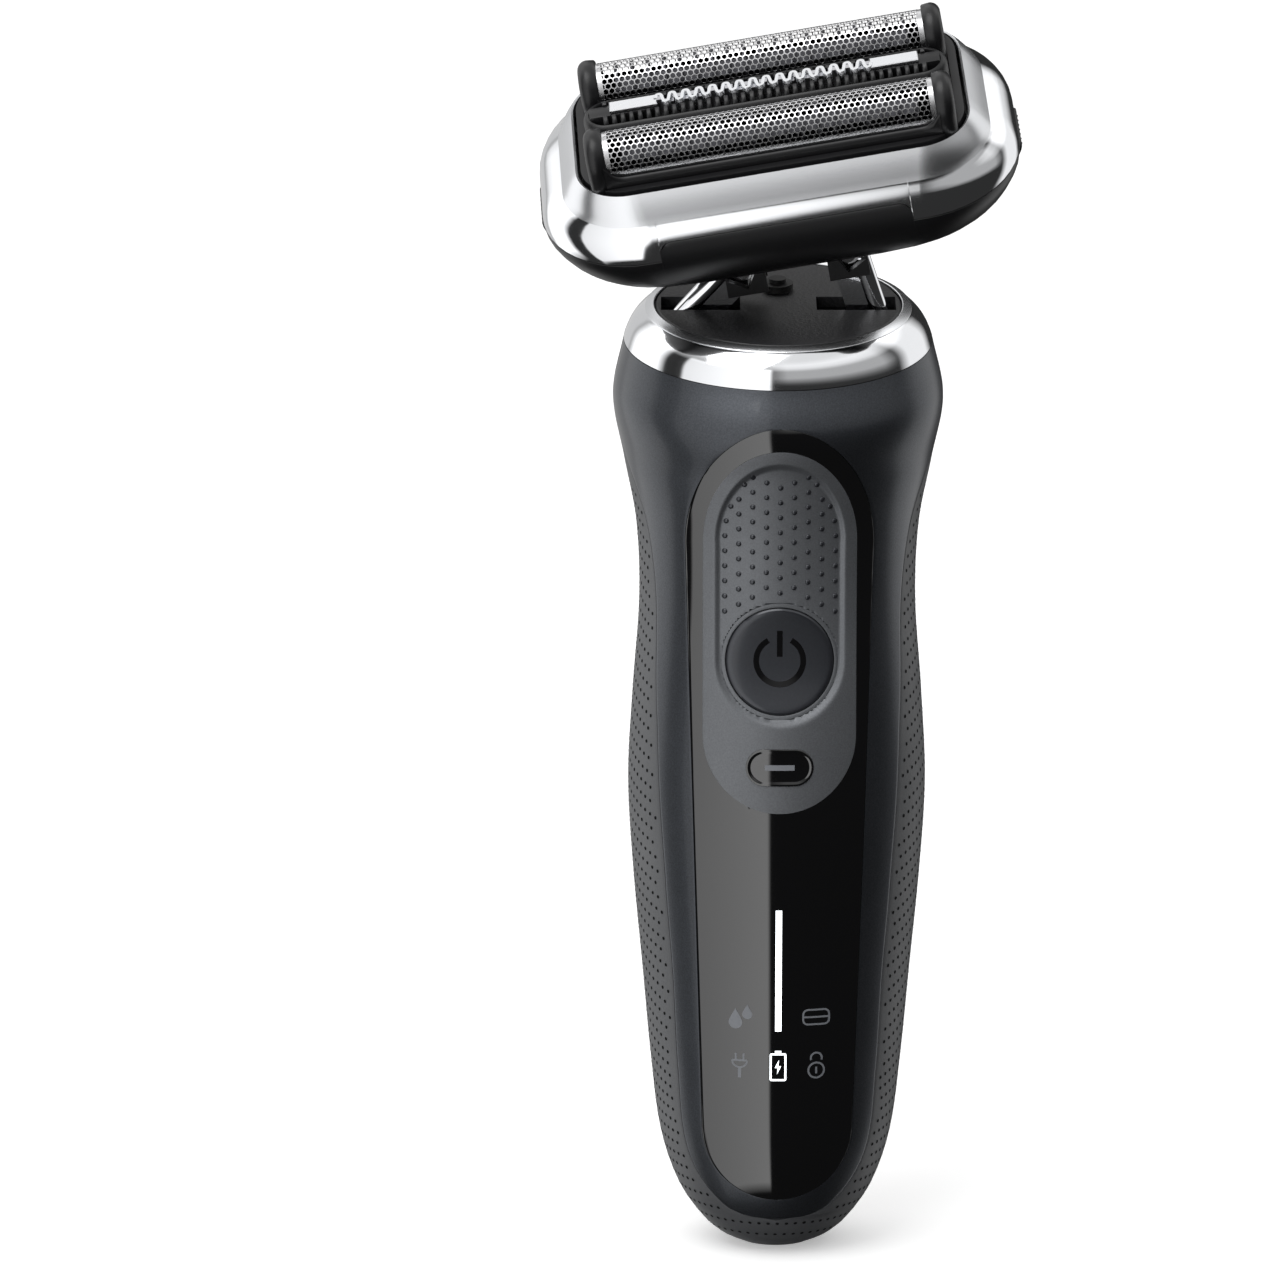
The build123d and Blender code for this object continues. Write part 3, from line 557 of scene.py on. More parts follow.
def button_rim():
    """The neat round lip of the pad that the button sits in."""
    count = 128
    profile = ((0.09, 1.5), (0.09, 0.66), (0.12, 0.57), (0.2, 0.53), (0.4, 0.515), (0.58, 0.515),
               (0.66, 0.62))
    points = []
    for gap, depth in profile:
        points += circle_on_front(0, BUTTON_Z, BUTTON_R + gap, lambda x, z: depth, count)
    add_piece("thumb_pad_rim", points, grid_faces(len(profile), count, closed=True), "pad_grey", "handle")


def ribbon(points, width, closed=False):
    """Quads along a flat line in the front view: returns corner points and faces."""
    count = len(points)
    corners, faces = [], []
    for i, (x, z) in enumerate(points):
        ahead = points[(i + 1) % count] if closed or i + 1 < count else points[i]
        behind = points[i - 1] if closed or i > 0 else points[i]
        along = Vector((ahead[0] - behind[0], ahead[1] - behind[1])).normalized()
        for side in (-1, 1):
            corners.append((x - side * along.y * width / 2, z + side * along.x * width / 2))
    for i in range(count if closed else count - 1):
        k = (i + 1) % count
        faces.append((2 * i, 2 * i + 1, 2 * k + 1, 2 * k))
    return corners, faces


def arc(cx, cz, radius, start, end, count=24):
    """Points along an arc between two angles in degrees."""
    angles = [radians(start + (end - start) * i / count) for i in range(count + 1)]
    return [(cx + radius * cos(angle), cz + radius * sin(angle)) for angle in angles]


def box_line(cx, cz, half_x, half_z, radius):
    """A rounded rectangle as a closed line."""
    line = []
    for sx, sz, turn in ((1, 1, 0), (-1, 1, 90), (-1, -1, 180), (1, -1, 270)):
        line += arc(cx + sx * (half_x - radius), cz + sz * (half_z - radius), radius, turn, turn + 90, 6)
    return line


def straight(x0, z0, x1, z1, count=6):
    """Points along a straight line."""
    return [(x0 + (x1 - x0) * i / count, z0 + (z1 - z0) * i / count) for i in range(count + 1)]


def refined(line, closed, step=0.45):
    """A line with points added so that it follows the curved front."""
    finer = []
    for i in range(len(line) if closed else len(line) - 1):
        (x0, z0), (x1, z1) = line[i], line[(i + 1) % len(line)]
        parts = max(1, int(sqrt((x1 - x0) ** 2 + (z1 - z0) ** 2) / step))
        finer += [(x0 + (x1 - x0) * k / parts, z0 + (z1 - z0) * k / parts) for k in range(parts)]
    return finer if closed else finer + [line[-1]]


def print_on_front(name, lines, finish_name, replaced=None, lift=-0.03,
                   body="handle", depth_of=None):
    """Thin raised marks on the front. Each line is (points, width, closed)."""
    points, faces = [], []
    for line, width, closed in lines:
        corners, quads = ribbon(refined(line, closed), width, closed)
        start = len(points)
        for x, z in corners:
            depth = lift + (depth_of(x, z) if depth_of else 0.0)
            points.append(surface_xz(x, z, depth))
        faces += [tuple(start + k for k in quad) for quad in quads]
    add_piece(name, points, faces, finish_name, body, replaced, thickness=0.04)


def filled_mark(name, outline, finish_name, lift=-0.035):
    """A flat filled mark on the front from its outline."""
    count = len(outline)
    middle = (sum(x for x, _ in outline) / count, sum(z for _, z in outline) / count)
    points = [surface_xz(x, z, lift) for x, z in [middle] + outline]
    faces = [(0, 1 + k, 1 + (k + 1) % count) for k in range(count)]
    add_piece(name, points, faces, finish_name, "handle")


def front_marks():
    """The light bar, five plain pictograms (drops, foil cassette, plug, battery, lock) and the power mark."""
    bar = straight(0, BAR_Z - 8.1, 0, BAR_Z + 8.1, 30)
    print_on_front("charge_bar_light", [(bar, 0.8, False)], "lit_window", "charge_bar")
    for name, cx, cz, size in (("drop_large", -5.5, 32.7, 0.88), ("drop_small", -4.0, 33.8, 0.64)):
        filled_mark(name, arc(cx, cz, size, 150, 390, 18) + [(cx, cz + 2.1 * size)], "print_grey")
    line, bold = 0.24, 0.42
    cassette = [
        (box_line(4.9, 33.4, 1.68, 0.98, 0.62), line, True),
        (straight(3.3, 33.4, 6.5, 33.4), line, False),
    ]
    plug = [
        (straight(-5.9, 27.55, -4.0, 27.55), line, False),
        (arc(-4.95, 27.55, 0.95, 180, 360, 18), line, False),
        (straight(-5.45, 27.6, -5.45, 28.5), line, False),
        (straight(-4.45, 27.6, -4.45, 28.5), line, False),
        (straight(-4.95, 26.6, -4.95, 25.2), bold, False),
    ]
    lock = [
        (arc(4.95, 26.2, 1.02, 0, 360, 30), line, False),
        (arc(4.95, 27.85, 0.72, -20, 200, 18), line, False),
        (straight(4.95, 25.75, 4.95, 26.65), line, False),
    ]
    print_on_front("status_pictograms", cassette + plug + lock, "print_grey", "status_icons")
    battery = [
        (box_line(0.0, 26.75, 0.95, 1.75, 0.12), line, True),
        (straight(-0.4, 28.75, 0.4, 28.75), bold, False),
    ]
    print_on_front("battery_pictogram", battery, "lit_window")
    bolt = [(0.12, 27.75), (-0.42, 26.65), (-0.05, 26.65), (-0.14, 25.8), (0.4, 26.9), (0.05, 26.9)]
    filled_mark("battery_bolt", bolt, "lit_window")

    stroke = 0.72
    power = [
        (arc(0, BUTTON_Z, 3.0, 119, 421, 60), stroke, False),
        (straight(0, BUTTON_Z + 0.5, 0, BUTTON_Z + 3.9, 8), stroke, False),
    ]
    print_on_front("power_symbol", power, "gloss_panel", body="power_button",
                   depth_of=button_dish)


def pill_line(radius, half=1.95, across=10, around=20):
    """The pill's outline at a distance from its middle line."""
    low, high = PILL_Z - radius, PILL_Z + radius
    line = straight(-half, low, half, low, across)[:-1]
    line += arc(half, PILL_Z, radius, -90, 90, around)[:-1]
    line += straight(half, high, -half, high, across)[:-1]
    return line + arc(-half, PILL_Z, radius, 90, 270, around)[:-1]


def pill_inlay():
    """The glossy pill below the button with its raised rim and a plain bar."""
    profile = ((0.02, -0.14), (0.6, -0.14), (1.75, -0.14), (1.92, -0.17), (2.1, -0.26), (2.26, -0.28),
               (2.38, -0.22), (2.42, 0.1))
    points = []
    for radius, depth in profile:
        points += [surface_xz(x, z, depth) for x, z in pill_line(radius)]
    faces = grid_faces(len(profile), len(pill_line(1.0)), closed=True)
    add_piece("pill_inlay_cap", points, faces, "gloss_panel", "handle", "pill_inlay")
    bar = straight(-1.9, PILL_Z, 1.9, PILL_Z, 12)
    print_on_front("pill_mark", [(bar, 0.7, False)], "print_grey", lift=-0.17)


def dot_places():
    """Nine columns of dots, every second one shifted by half a step, clear of the rim and the button."""
    column_step, row_step, rim, around_button = 1.76, 1.96, 1.25, 1.3
    places = []
    for column in range(-4, 5):
        across = abs(column)
        for row in range(-1, 10):
            z = 88.35 + 0.3 * max(0, 2 - across) + row_step * (row + 0.5 * (across % 2))
            room = outline_width(RECESS, z) - rim
            if z > 104.5 or room < column_step * (across - 0.6):
                continue
            x = min(column_step * across, room) * (1 if column > 0 else -1)
            if x * x + (z - BUTTON_Z) ** 2 > (BUTTON_R + around_button) ** 2:
                places.append((x, z))
    return places


def pad_dots():
    """Small smooth domes on the recessed thumb rest."""
    radius, height, sunk, around, rings = 0.36, 0.24, 0.04, 14, 5
    points, faces = [], []
    for x, z in dot_places():
        start = len(points)
        for ring in range(rings):
            angle = pi / 2 * ring / (rings - 1)
            rise = height * sin(angle) - sunk
            points += circle_on_front(x, z, radius * cos(angle),
                                      lambda px, pz: pad_depth(surface_xz(px, pz)) - rise, around)
        faces += grid_faces(rings, around, start, closed=True)
    add_piece("pad_dots", points, faces, "button_dark", "handle", crease=80)


def dimple(theta, s, first):
    """A small cone in the rubber, near-black with painted shade for a dimple's hollow: its points, and its
    faces from a first index on.
    """
    radius, around = 0.24, 8
    centre = on_handle(theta, s)
    side = (on_handle(theta + 0.01, s) - centre).normalized()
    up = (on_handle(theta, s + 0.1) - centre).normalized()
    out = side.cross(up).normalized()
    points = [centre + out * 0.012]
    for j in range(around):
        turn = 2 * pi * j / around
        points.append(centre + out * 0.03 + (side * cos(turn) + up * sin(turn)) * radius)
    return points, [(first, first + 1 + j, first + 1 + (j + 1) % around) for j in range(around)]


def grip_dimples():
    """Rows of dimples that slope round the rubber sides and close up round the lower end."""
    rows, lowest, along, rise, margin = 56, 2.6, 1.2, 1.8, 0.75
    points, faces = [], []
    for row in range(rows):
        base = lowest + rise * row
        slope = 0.34 * smooth(base, 6.0, 34.0)
        half_w, half_d = curve_at(SECTIONS, base, 1), curve_at(SECTIONS, base, 2)
        theta = 0.13 * (row % 2)
        while theta < 2 * pi - 0.04:
            s = base + slope * half_d * sin(theta)
            reach = curve_at(GRIP_EDGE, s, 1) if s < GRIP_TOP else 0.0
            if abs(curve_at(SECTIONS, s, 2) * sin(theta)) < reach - margin and s > 2.0:
                more_points, more_faces = dimple(theta, s, len(points))
                points += more_points
                faces += more_faces
            theta += along / sqrt((half_w * sin(theta)) ** 2 + (half_d * cos(theta)) ** 2)
    # near-black dots: painted shade in place of the dimples' real hollows
    add_piece("grip_dimples", points, faces, "dimple_painted_shade", "handle")


def seam_liner():
    """The dark inner wall that shows in the narrow seams between the skins."""
    count, sections, inset = 97, eased(2.5, SHELL_TOP, 70), 1.05
    points = []
    for s in sections:
        inside = FRONT
        if PANEL["low_z"] + 2.0 < s < PANEL_TOP_S - 2.0:
            inside = max(panel_angle(s) - 0.05, FRONT)
        for j in range(count):
            theta = inside + (pi - 2 * inside) * j / (count - 1)
            points.append(on_handle(theta, s, inset))
    add_piece("seam_liner", points, grid_faces(len(sections), count), "black_plastic", "handle",
              thickness=0.15)


def rear_contacts():
    """The two gilt charging contacts low on the back."""
    profile = ((0.02, -0.14), (0.7, -0.15), (1.2, -0.14), (1.42, -0.08), (1.52, 0.05), (1.54, 0.4))
    apart, z, count = 5.0, 14.0, 40
    points, faces = [], []
    for x in (-apart, apart):
        start = len(points)
        for radius, depth in profile:
            front = circle_on_front(x, z, radius, lambda px, pz: depth, count)
            points += [Vector((place.x, -place.y, place.z)) for place in front]
        faces += grid_faces(len(profile), count, start, closed=True)
    add_piece("rear_contact_pads", points, faces, "gold_contact", "handle", "rear_contacts")


# ------------------------------------------------ neck ring
def lathe(name, profile, finish_name, replaced, crease, count=160):
    """A chrome piece of the handle turned about the neck's axis from (radius, height) places."""
    points = []
    for r, t in profile:
        for j in range(count):
            turn = 2 * pi * j / count
            points.append((r * cos(turn), r * sin(turn), t))
    faces = grid_faces(len(profile), count, closed=True)
    add_piece(name, placed(points, NECK), faces, finish_name, "handle", replaced,
              crease=crease)


def neck_ring():
    """The polished ring with its slightly bulging outside, and the satin bevel inside it."""
    lower, upper, steps = (19.9, -4.5), (17.15, -0.5), 12
    profile = [(16.1, -4.5), (19.75, -4.5)]
    for i in range(steps + 1):
        t = i / steps
        bulge = 0.42 * sin(pi * t)
        profile.append((lower[0] + (upper[0] - lower[0]) * t + bulge * 0.83,
                        lower[1] + (upper[1] - lower[1]) * t + bulge * 0.56))
    profile += [(17.05, -0.45), (16.1, -0.9), (16.1, -4.5)]
    lathe("neck_ring_chrome", profile, "chrome", "neck_ring", crease=32)
    bevel = [(16.0, -0.8), (17.1, -0.5), (17.18, -0.42), (17.1, -0.33), (16.08, 0.05), (15.98, 0.0),
             (16.0, -0.8)]
    lathe("neck_ring_bevel", bevel, "satin_chrome", None, crease=30)


# ------------------------------------------------ head
LIP_HALF, LIP_R, LIP_H = 16.0, 1.5, 2.4
LIP_END = LIP_HALF + 0.02
LIP_NEEDS, SIDE_REACH = 17.0, 17.6
SEAM_W, SEAM_GAP = -8.9, 0.05
BASE_W = OUTER[-1][3]


def front_places():
    """Places along the long side, close together at the lip's rounded ends."""
    straight_part = LIP_HALF - LIP_R
    half = [straight_part * i / 20 for i in range(20)]
    half += [straight_part + LIP_R * sin(radians(7.5 * i)) for i in range(13)]
    half += [LIP_END + (SIDE_REACH - LIP_END) * i / 3 for i in range(3)]
    return [-x for x in reversed(half[1:])] + half


def rounded_outline(half_u, half_v, radius, corner=12, across=6):
    """Points of a rounded rectangle, as many for every size, from the front-left corner on."""
    side_u, side_v = half_u - radius, half_v - radius
    keeps_lip = side_u > LIP_NEEDS
    along = []
    for u in front_places():
        if not keeps_lip or abs(u) > LIP_END:
            u = u / SIDE_REACH * side_u
        if keeps_lip and abs(u) > LIP_END:
            u = copysign(min(abs(u), side_u - 0.01), u)
        along.append(u)
    along[0] = -side_u
    down = [side_v * (1 - 2 * i / across) for i in range(across)]
    line = [(u, -half_v) for u in along]
    line += arc(side_u, -side_v, radius, 270, 360, corner)[:-1]
    line += [(half_u, -v) for v in down]
    line += arc(side_u, side_v, radius, 0, 90, corner)[:-1]
    line += [(-u, half_v) for u in along]
    line += arc(-side_u, side_v, radius, 90, 180, corner)[:-1]
    line += [(-half_u, v) for v in down]
    return line + arc(-side_u, -side_v, radius, 180, 270, corner)[:-1]


def outer_size(w):
    """Half-length, half-depth and corner radius of the head at a height."""
    table = [(-row[3], row[0], row[1], row[2]) for row in OUTER]
    return [curve_at(table, -w, k) for k in (1, 2, 3)]


def lip_rise(u, v):
    """The raised lip in the middle of the front edge."""
    past = abs(u) - (LIP_HALF - LIP_R)
    if v > 0 or past >= LIP_R:
        return 0.0
    if past <= 0:
        return LIP_H
    return LIP_H - LIP_R + sqrt(LIP_R ** 2 - past ** 2)


def head_ring(gap, end_w, share):
    """A closed ring of the head's outside, part of the way from the seam to another height."""
    ring = []
    for k, (u0, v0) in enumerate(rounded_outline(*outer_size(SEAM_W))):
        seam = SEAM_W + gap + lip_rise(u0, v0)
        w = seam + (end_w - seam) * share
        u, v = rounded_outline(*outer_size(w))[k]
        ring.append((u, v, w))
    return ring


def ring_at(half_u, half_v, radius, w):
    """A level ring of the head."""
    return [(u, v, w) for u, v in rounded_outline(half_u, half_v, radius)]


def scaled(ring, along, across, lift=0.0):
    """A ring drawn in towards the middle of the head."""
    return [(u * along, v * across, w + lift) for u, v, w in ring]


def chrome_frame():
    """The chrome frame: polished outside, a satin facet round the opening, cut away at the front lip."""
    bulge, facet_steps, lower_steps = 0.25, 5, 10
    inner = [ring_at(*OPENING, -8.8), ring_at(*OPENING, -1.7), ring_at(24.9, 12.45, 6.35, -1.35)]
    facet = []
    for i in range(facet_steps + 1):
        t = i / facet_steps
        half_u, half_v, radius, w = (a + (b - a) * t for a, b in zip(FACET_TOP, FACET_LOW))
        facet.append(ring_at(half_u, half_v, radius, w + bulge * sin(pi * t)))
    lower = [head_ring(SEAM_GAP, FACET_LOW[3], 1 - i / lower_steps) for i in range(1, lower_steps + 1)]
    rings = inner + facet + lower + [scaled(lower[-1], 0.97, 0.95), inner[0]]
    faces = grid_faces(len(rings), len(rings[0]), closed=True)
    piece = add_piece("chrome_frame_shell", placed(joined(rings), HEAD), faces, "chrome", "head",
                      "chrome_frame", crease=22)
    piece.data.materials.append(MATERIALS["satin_chrome"])
    to_head = HEAD.inverted()
    for polygon in piece.data.polygons:
        middle = to_head @ (polygon.center / MM)
        inside = abs(middle.x) < FACET_LOW[0] and abs(middle.y) < FACET_LOW[1]
        polygon.material_index = 1 if inside and middle.z > FACET_LOW[3] else 0


def head_box(u, v, w):
    """A hidden box in the head's frame that cuts an opening. Each size is a (low, high) pair."""
    points = [(u[i], v[j], w[k]) for i in (0, 1) for j in (0, 1) for k in (0, 1)]
    faces = [(0, 1, 3, 2), (4, 6, 7, 5), (0, 4, 5, 1), (2, 3, 7, 6), (0, 2, 6, 4), (1, 5, 7, 3)]
    mesh = bpy.data.meshes.new("cutter")
    mesh.from_pydata([p * MM for p in placed(points, HEAD)], [], faces)
    box = bpy.data.objects.new("cutter", mesh)
    bpy.context.scene.collection.objects.link(box)
    return box


def cut_openings(piece, boxes):
    """Cuts each box out of the piece and removes the boxes."""
    for box in boxes:
        cut = piece.modifiers.new("cut", "BOOLEAN")
        cut.operation = "DIFFERENCE"
        cut.solver = "EXACT"
        cut.object = box
    bake_modifiers(piece)
    for box in boxes:
        bpy.data.objects.remove(box)
    piece.data.shade_smooth()
    piece.data.set_sharp_from_angle(angle=radians(40))


EAR_LOW, EAR_HIGH, EAR_DEPTH = 16.4, 19.2, 5.8
RELEASE_W, RELEASE_V, RELEASE_H = -11.6, 4.5, 1.5


def head_base():
    """The black lower shell of the head, with slots for the yoke's ears and pockets for the buttons."""
    floor_w, bottom_w, clearance = -15.2, -16.8, 0.25
    shares = (0.012, 0.05, 0.12, 0.2, 0.3, 0.4, 0.5, 0.6, 0.7, 0.8, 0.88, 0.94, 0.98, 1.0)
    rim = head_ring(-SEAM_GAP, BASE_W, 0.0)
    outer = [scaled(rim, 0.94, 0.9), scaled(rim, 0.994, 0.992, 0.03)]
    outer += [head_ring(-SEAM_GAP, BASE_W, share) for share in shares]
    for scale, w in ((0.97, -16.72), (0.92, bottom_w)):
        outer.append([(u * scale, v * scale, w) for u, v, _ in outer[-1]])
    inner = [[(u * 0.93, v * 0.9, max(w, floor_w)) for u, v, w in ring] for ring in reversed(outer[4:-2])]
    count = len(rim)
    points = joined(outer + inner)
    inner_start = len(outer) * count
    faces = grid_faces(len(outer), count, closed=True)
    faces += grid_faces(len(inner), count, inner_start, closed=True)
    last = len(points) - count
    faces += [(last + j, last + (j + 1) % count, (j + 1) % count, j) for j in range(count)]
    for start, w in ((inner_start - count, bottom_w), (inner_start, floor_w)):
        middle = len(points)
        points.append((0.0, 0.0, w))
        faces += [(start + j, start + (j + 1) % count, middle) for j in range(count)]
    shell = add_piece("head_base_shell", placed(points, HEAD), faces, "black_plastic", "head",
                      "head_base", crease=40)
    boxes = []
    for side in (-1, 1):
        slot = sorted((side * EAR_LOW, side * EAR_HIGH))
        pocket = sorted((side * 26.0, side * 34.0))
        heights = (RELEASE_W - RELEASE_H - clearance, RELEASE_W + RELEASE_H + clearance)
        boxes.append(head_box(slot, (-EAR_DEPTH, EAR_DEPTH), (-20, -14)))
        boxes.append(head_box(pocket, (-RELEASE_V - clearance, RELEASE_V + clearance), heights))
    cut_openings(shell, boxes)


def head_end(v, w):
    """How far out the head's end reaches at a place."""
    half_u, half_v, radius = outer_size(w)
    past = max(0.0, abs(v) - (half_v - radius))
    return half_u - radius + sqrt(radius ** 2 - past ** 2)


def release_buttons():
    """The two ribbed push buttons in the ends of the head."""
    rims = ((0.0, -2.2), (0.0, 0.15), (0.15, 0.4), (0.45, 0.5))
    rib = ((-0.22, 0.45), (-0.1, 0.68), (0.1, 0.68), (0.22, 0.45))
    rib_step, rib_half = 0.95, 0.8
    for name, side in (("release_left", -1), ("release_right", 1)):
        rings = []
        for inset, rise in rims:
            outline = box_line(0.0, RELEASE_W, RELEASE_V - inset, RELEASE_H - inset, 1.1 - inset)
            rings.append([(side * (head_end(v, w) + rise), v, w) for v, w in outline])
        points = joined(rings)
        count = len(rings[0])
        top = (len(rings) - 1) * count
        faces = grid_faces(len(rings), count, closed=True) + [tuple(top + j for j in range(count))]
        for k in range(-3, 4):
            start = len(points)
            for offset, rise in rib:
                v = k * rib_step + offset
                for w in (RELEASE_W - rib_half, RELEASE_W, RELEASE_W + rib_half):
                    points.append((side * (head_end(v, w) + rise), v, w))
            faces += grid_faces(len(rib), 3, start)
        add_piece(name + "_cap", placed(points, HEAD), faces, "black_plastic", name, name, crease=35)


def dome_point(t, radius):
    """A point across a foil: straight sides and a round top. t is the distance along it."""
    quarter = pi / 2 * radius
    if abs(t) <= quarter:
        angle = t / radius
        return radius * sin(angle), FOIL_W + radius * cos(angle)
    return copysign(radius, t), FOIL_W - (abs(t) - quarter)


FOIL_REACH = pi / 2 * FOIL_R + 0.5


def hex_foil(place, v_centre, body):
    """A foil with hexagonal holes bent over its dome."""
    pitch, hole, first_hole = 0.758, 0.82, 0.9
    row_step = pitch * sqrt(3) / 2
    points, faces = [], []
    for r in range(int(2 * FOIL_REACH / row_step) + 1):
        t = -FOIL_REACH + r * row_step
        shift = pitch / 2 if r % 2 else 0.0
        for c in range(int((2 * FOIL_HALF - 1.6) / pitch)):
            u = -FOIL_HALF + first_hole + shift + c * pitch
            start = len(points)
            for size in (1.0, hole):
                for k in range(6):
                    angle = radians(60 * k + 30)
                    corner = pitch / sqrt(3) * size
                    v, w = dome_point(t + corner * sin(angle), FOIL_R)
                    points.append((u + corner * cos(angle), v_centre + v, w))
            for k in range(6):
                m = (k + 1) % 6
                faces.append((start + k, start + m, start + 6 + m, start + 6 + k))
    add_piece(f"foil_{place}_mesh", placed(points, HEAD), faces, "foil_steel", body, f"foil_{place}",
              thickness=0.06, crease=60)


def foil_strips(place, v_centre, body):
    """The plain strips along the four edges of a foil, just under the holed part."""
    radius, end_width, columns = FOIL_R - 0.03, 1.0, 25
    points, faces = [], []
    for first in (-FOIL_HALF, FOIL_HALF - end_width):
        start = len(points)
        for i in range(columns):
            v, w = dome_point(-FOIL_REACH - 1.5 + (2 * FOIL_REACH + 3.0) * i / (columns - 1), radius)
            points += [(first, v_centre + v, w), (first + end_width, v_centre + v, w)]
        faces += grid_faces(columns, 2, start)
    for side in (-1, 1):
        start = len(points)
        for below in (-0.25, 0.55, 1.35):
            v, w = dome_point(side * (FOIL_REACH + below), radius)
            points += [(-FOIL_HALF, v_centre + v, w), (FOIL_HALF, v_centre + v, w)]
        faces += grid_faces(3, 2, start)
    add_piece(f"foil_{place}_strips", placed(points, HEAD), faces, "foil_steel", body, thickness=0.05)


FRAME_LOW = -3.3
CAP_POINTS = 41


def cap_ring(u, grow, v_centre):
    """The outline of an end cap: straight sides up to a round top, open below."""
    radius, round_part = FOIL_R + grow, 0.6
    ring = []
    for j in range(CAP_POINTS):
        t = -1 + 2 * j / (CAP_POINTS - 1)
        if abs(t) < round_part:
            angle = t / round_part * pi / 2
            ring.append((u, v_centre + radius * sin(angle), FOIL_W + radius * cos(angle)))
        else:
            down = (abs(t) - round_part) / (1 - round_part)
            ring.append((u, v_centre + copysign(radius, t), FOIL_W + (FRAME_LOW - FOIL_W) * down))
    return ring


def end_cap(side, v_centre):
    """The rings of a foil frame's full, rounded end."""
    inner_u, outer_u, edge, grow = FOIL_HALF - 0.35, 23.35, 1.25, 0.62
    rings = [cap_ring(side * inner_u, -0.1, v_centre), cap_ring(side * inner_u, 0.3, v_centre),
             cap_ring(side * (inner_u + 0.15), 0.5, v_centre)]
    for i in range(9):
        turn = pi / 2 * i / 8
        reach = outer_u - edge + edge * sin(turn)
        rings.append(cap_ring(side * reach, grow - edge * (1 - cos(turn)), v_centre))
    rings.append(cap_ring(side * (outer_u + 0.05), -FOIL_R + 0.1, v_centre))
    return rings


def rail_point(u, w, grow, side, v_centre):
    """A point of a foil frame's side rail, which climbs round the foil's corners at both ends."""
    corner_r, run = 2.0, 2.2
    past = min(1.0, max(0.0, abs(u) - (FOIL_HALF - 0.35 - run)) / run)
    climb = corner_r * (1 - sqrt(1 - past ** 2))
    height = w if w < -1 else w - 0.35 + climb
    if height > FOIL_W:
        v, on_dome = dome_point(pi / 2 * FOIL_R - (height - FOIL_W), FOIL_R)
    else:
        v, on_dome = FOIL_R, height
    out = Vector((v, max(0.0, on_dome - FOIL_W))).normalized() * grow
    return u, v_centre + side * (v + out.x), on_dome + out.y


def foil_frame(place, v_centre, body):
    """The black frame of a foil: side rails and two end caps."""
    points, faces = [], []
    for side in (-1, 1):
        rings = end_cap(side, v_centre)
        faces += grid_faces(len(rings), CAP_POINTS, len(points))
        points += joined(rings)
    rail = ((FRAME_LOW, 0.62), (0.0, 0.62), (0.35, 0.58), (0.55, 0.42), (0.58, 0.2), (0.4, 0.04),
            (FRAME_LOW, 0.04))
    columns = 91
    along = [FOIL_HALF * (-1 + 2 * i / (columns - 1)) for i in range(columns)]
    for side in (-1, 1):
        faces += grid_faces(len(rail), columns, len(points))
        points += [rail_point(u, w, grow, side, v_centre) for w, grow in rail for u in along]
    name = f"foil_frame_{place}"
    add_piece(name + "_shell", placed(points, HEAD), faces, "black_plastic", body, name, crease=50)


def stadium_ring(half_u, half_v, w, count=14):
    """A long outline with round ends, in the head's frame."""
    ring = []
    for side, turn in ((1, -90), (-1, 90)):
        for u, v in arc(side * (half_u - half_v), 0.0, half_v, turn, turn + 180, count - 1):
            ring.append((u, v, w))
    return ring


def comb_frame():
    """The middle frame: a rounded rim round a sunk floor."""
    half_u, half_v = 23.3, 3.1
    profile = ((0.5, 0.5, -3.2), (0.0, 0.0, -2.8), (0.0, 0.0, 1.6), (0.12, 0.12, 2.1), (0.4, 0.4, 2.45),
               (0.75, 0.62, 2.5), (0.9, 0.75, 2.35), (0.95, 0.8, 1.5), (21.3, 2.8, 1.5))
    rings = [stadium_ring(half_u - in_u, half_v - in_v, w) for in_u, in_v, w in profile]
    faces = grid_faces(len(rings), len(rings[0]), closed=True)
    add_piece("comb_frame_body", placed(joined(rings), HEAD), faces, "black_plastic", "trimmer_unit",
              "comb_frame", crease=50)


def comb_ribs():
    """Fine ribs on both sides of the cutter."""
    count, step = 38, 1.1
    profile = ((-2.35, 1.4), (-2.3, 2.35), (-2.05, 2.75), (-1.55, 2.98), (-1.1, 3.05), (-1.05, 1.4))
    slices = ((-0.3, 0.12), (-0.2, 0.0), (0.2, 0.0), (0.3, 0.12))
    corners = len(profile)
    points, faces = [], []
    for k in range(count):
        u = step * (k - (count - 1) / 2)
        for side in (-1, 1):
            start = len(points)
            for offset, drop in slices:
                points += [(u + offset, -side * v, w - (drop if w > 2 else 0.0)) for v, w in profile]
            far = start + (len(slices) - 1) * corners
            faces += grid_faces(len(slices), corners, start)
            faces.append(tuple(start + j for j in range(corners)))
            faces.append(tuple(far + j for j in reversed(range(corners))))
    add_piece("comb_ribs", placed(points, HEAD), faces, "black_plastic", "trimmer_unit", crease=40)


def comb_seats():
    """The two low blocks that carry the cutter's end plates."""
    points, faces = [], []
    for side in (-1, 1):
        k = len(points)
        outline = [(side * 22.4, 1.05), (side * 14.2, 1.05), (side * 14.2, -1.05), (side * 22.4, -1.05)]
        points += [(u, v, w) for w in (1.4, 2.9) for u, v in outline]
        faces += grid_faces(2, 4, k, closed=True) + [(k + 4, k + 5, k + 6, k + 7)]
    add_piece("comb_seats", placed(points, HEAD), faces, "black_plastic", "trimmer_unit", bevel=0.15)


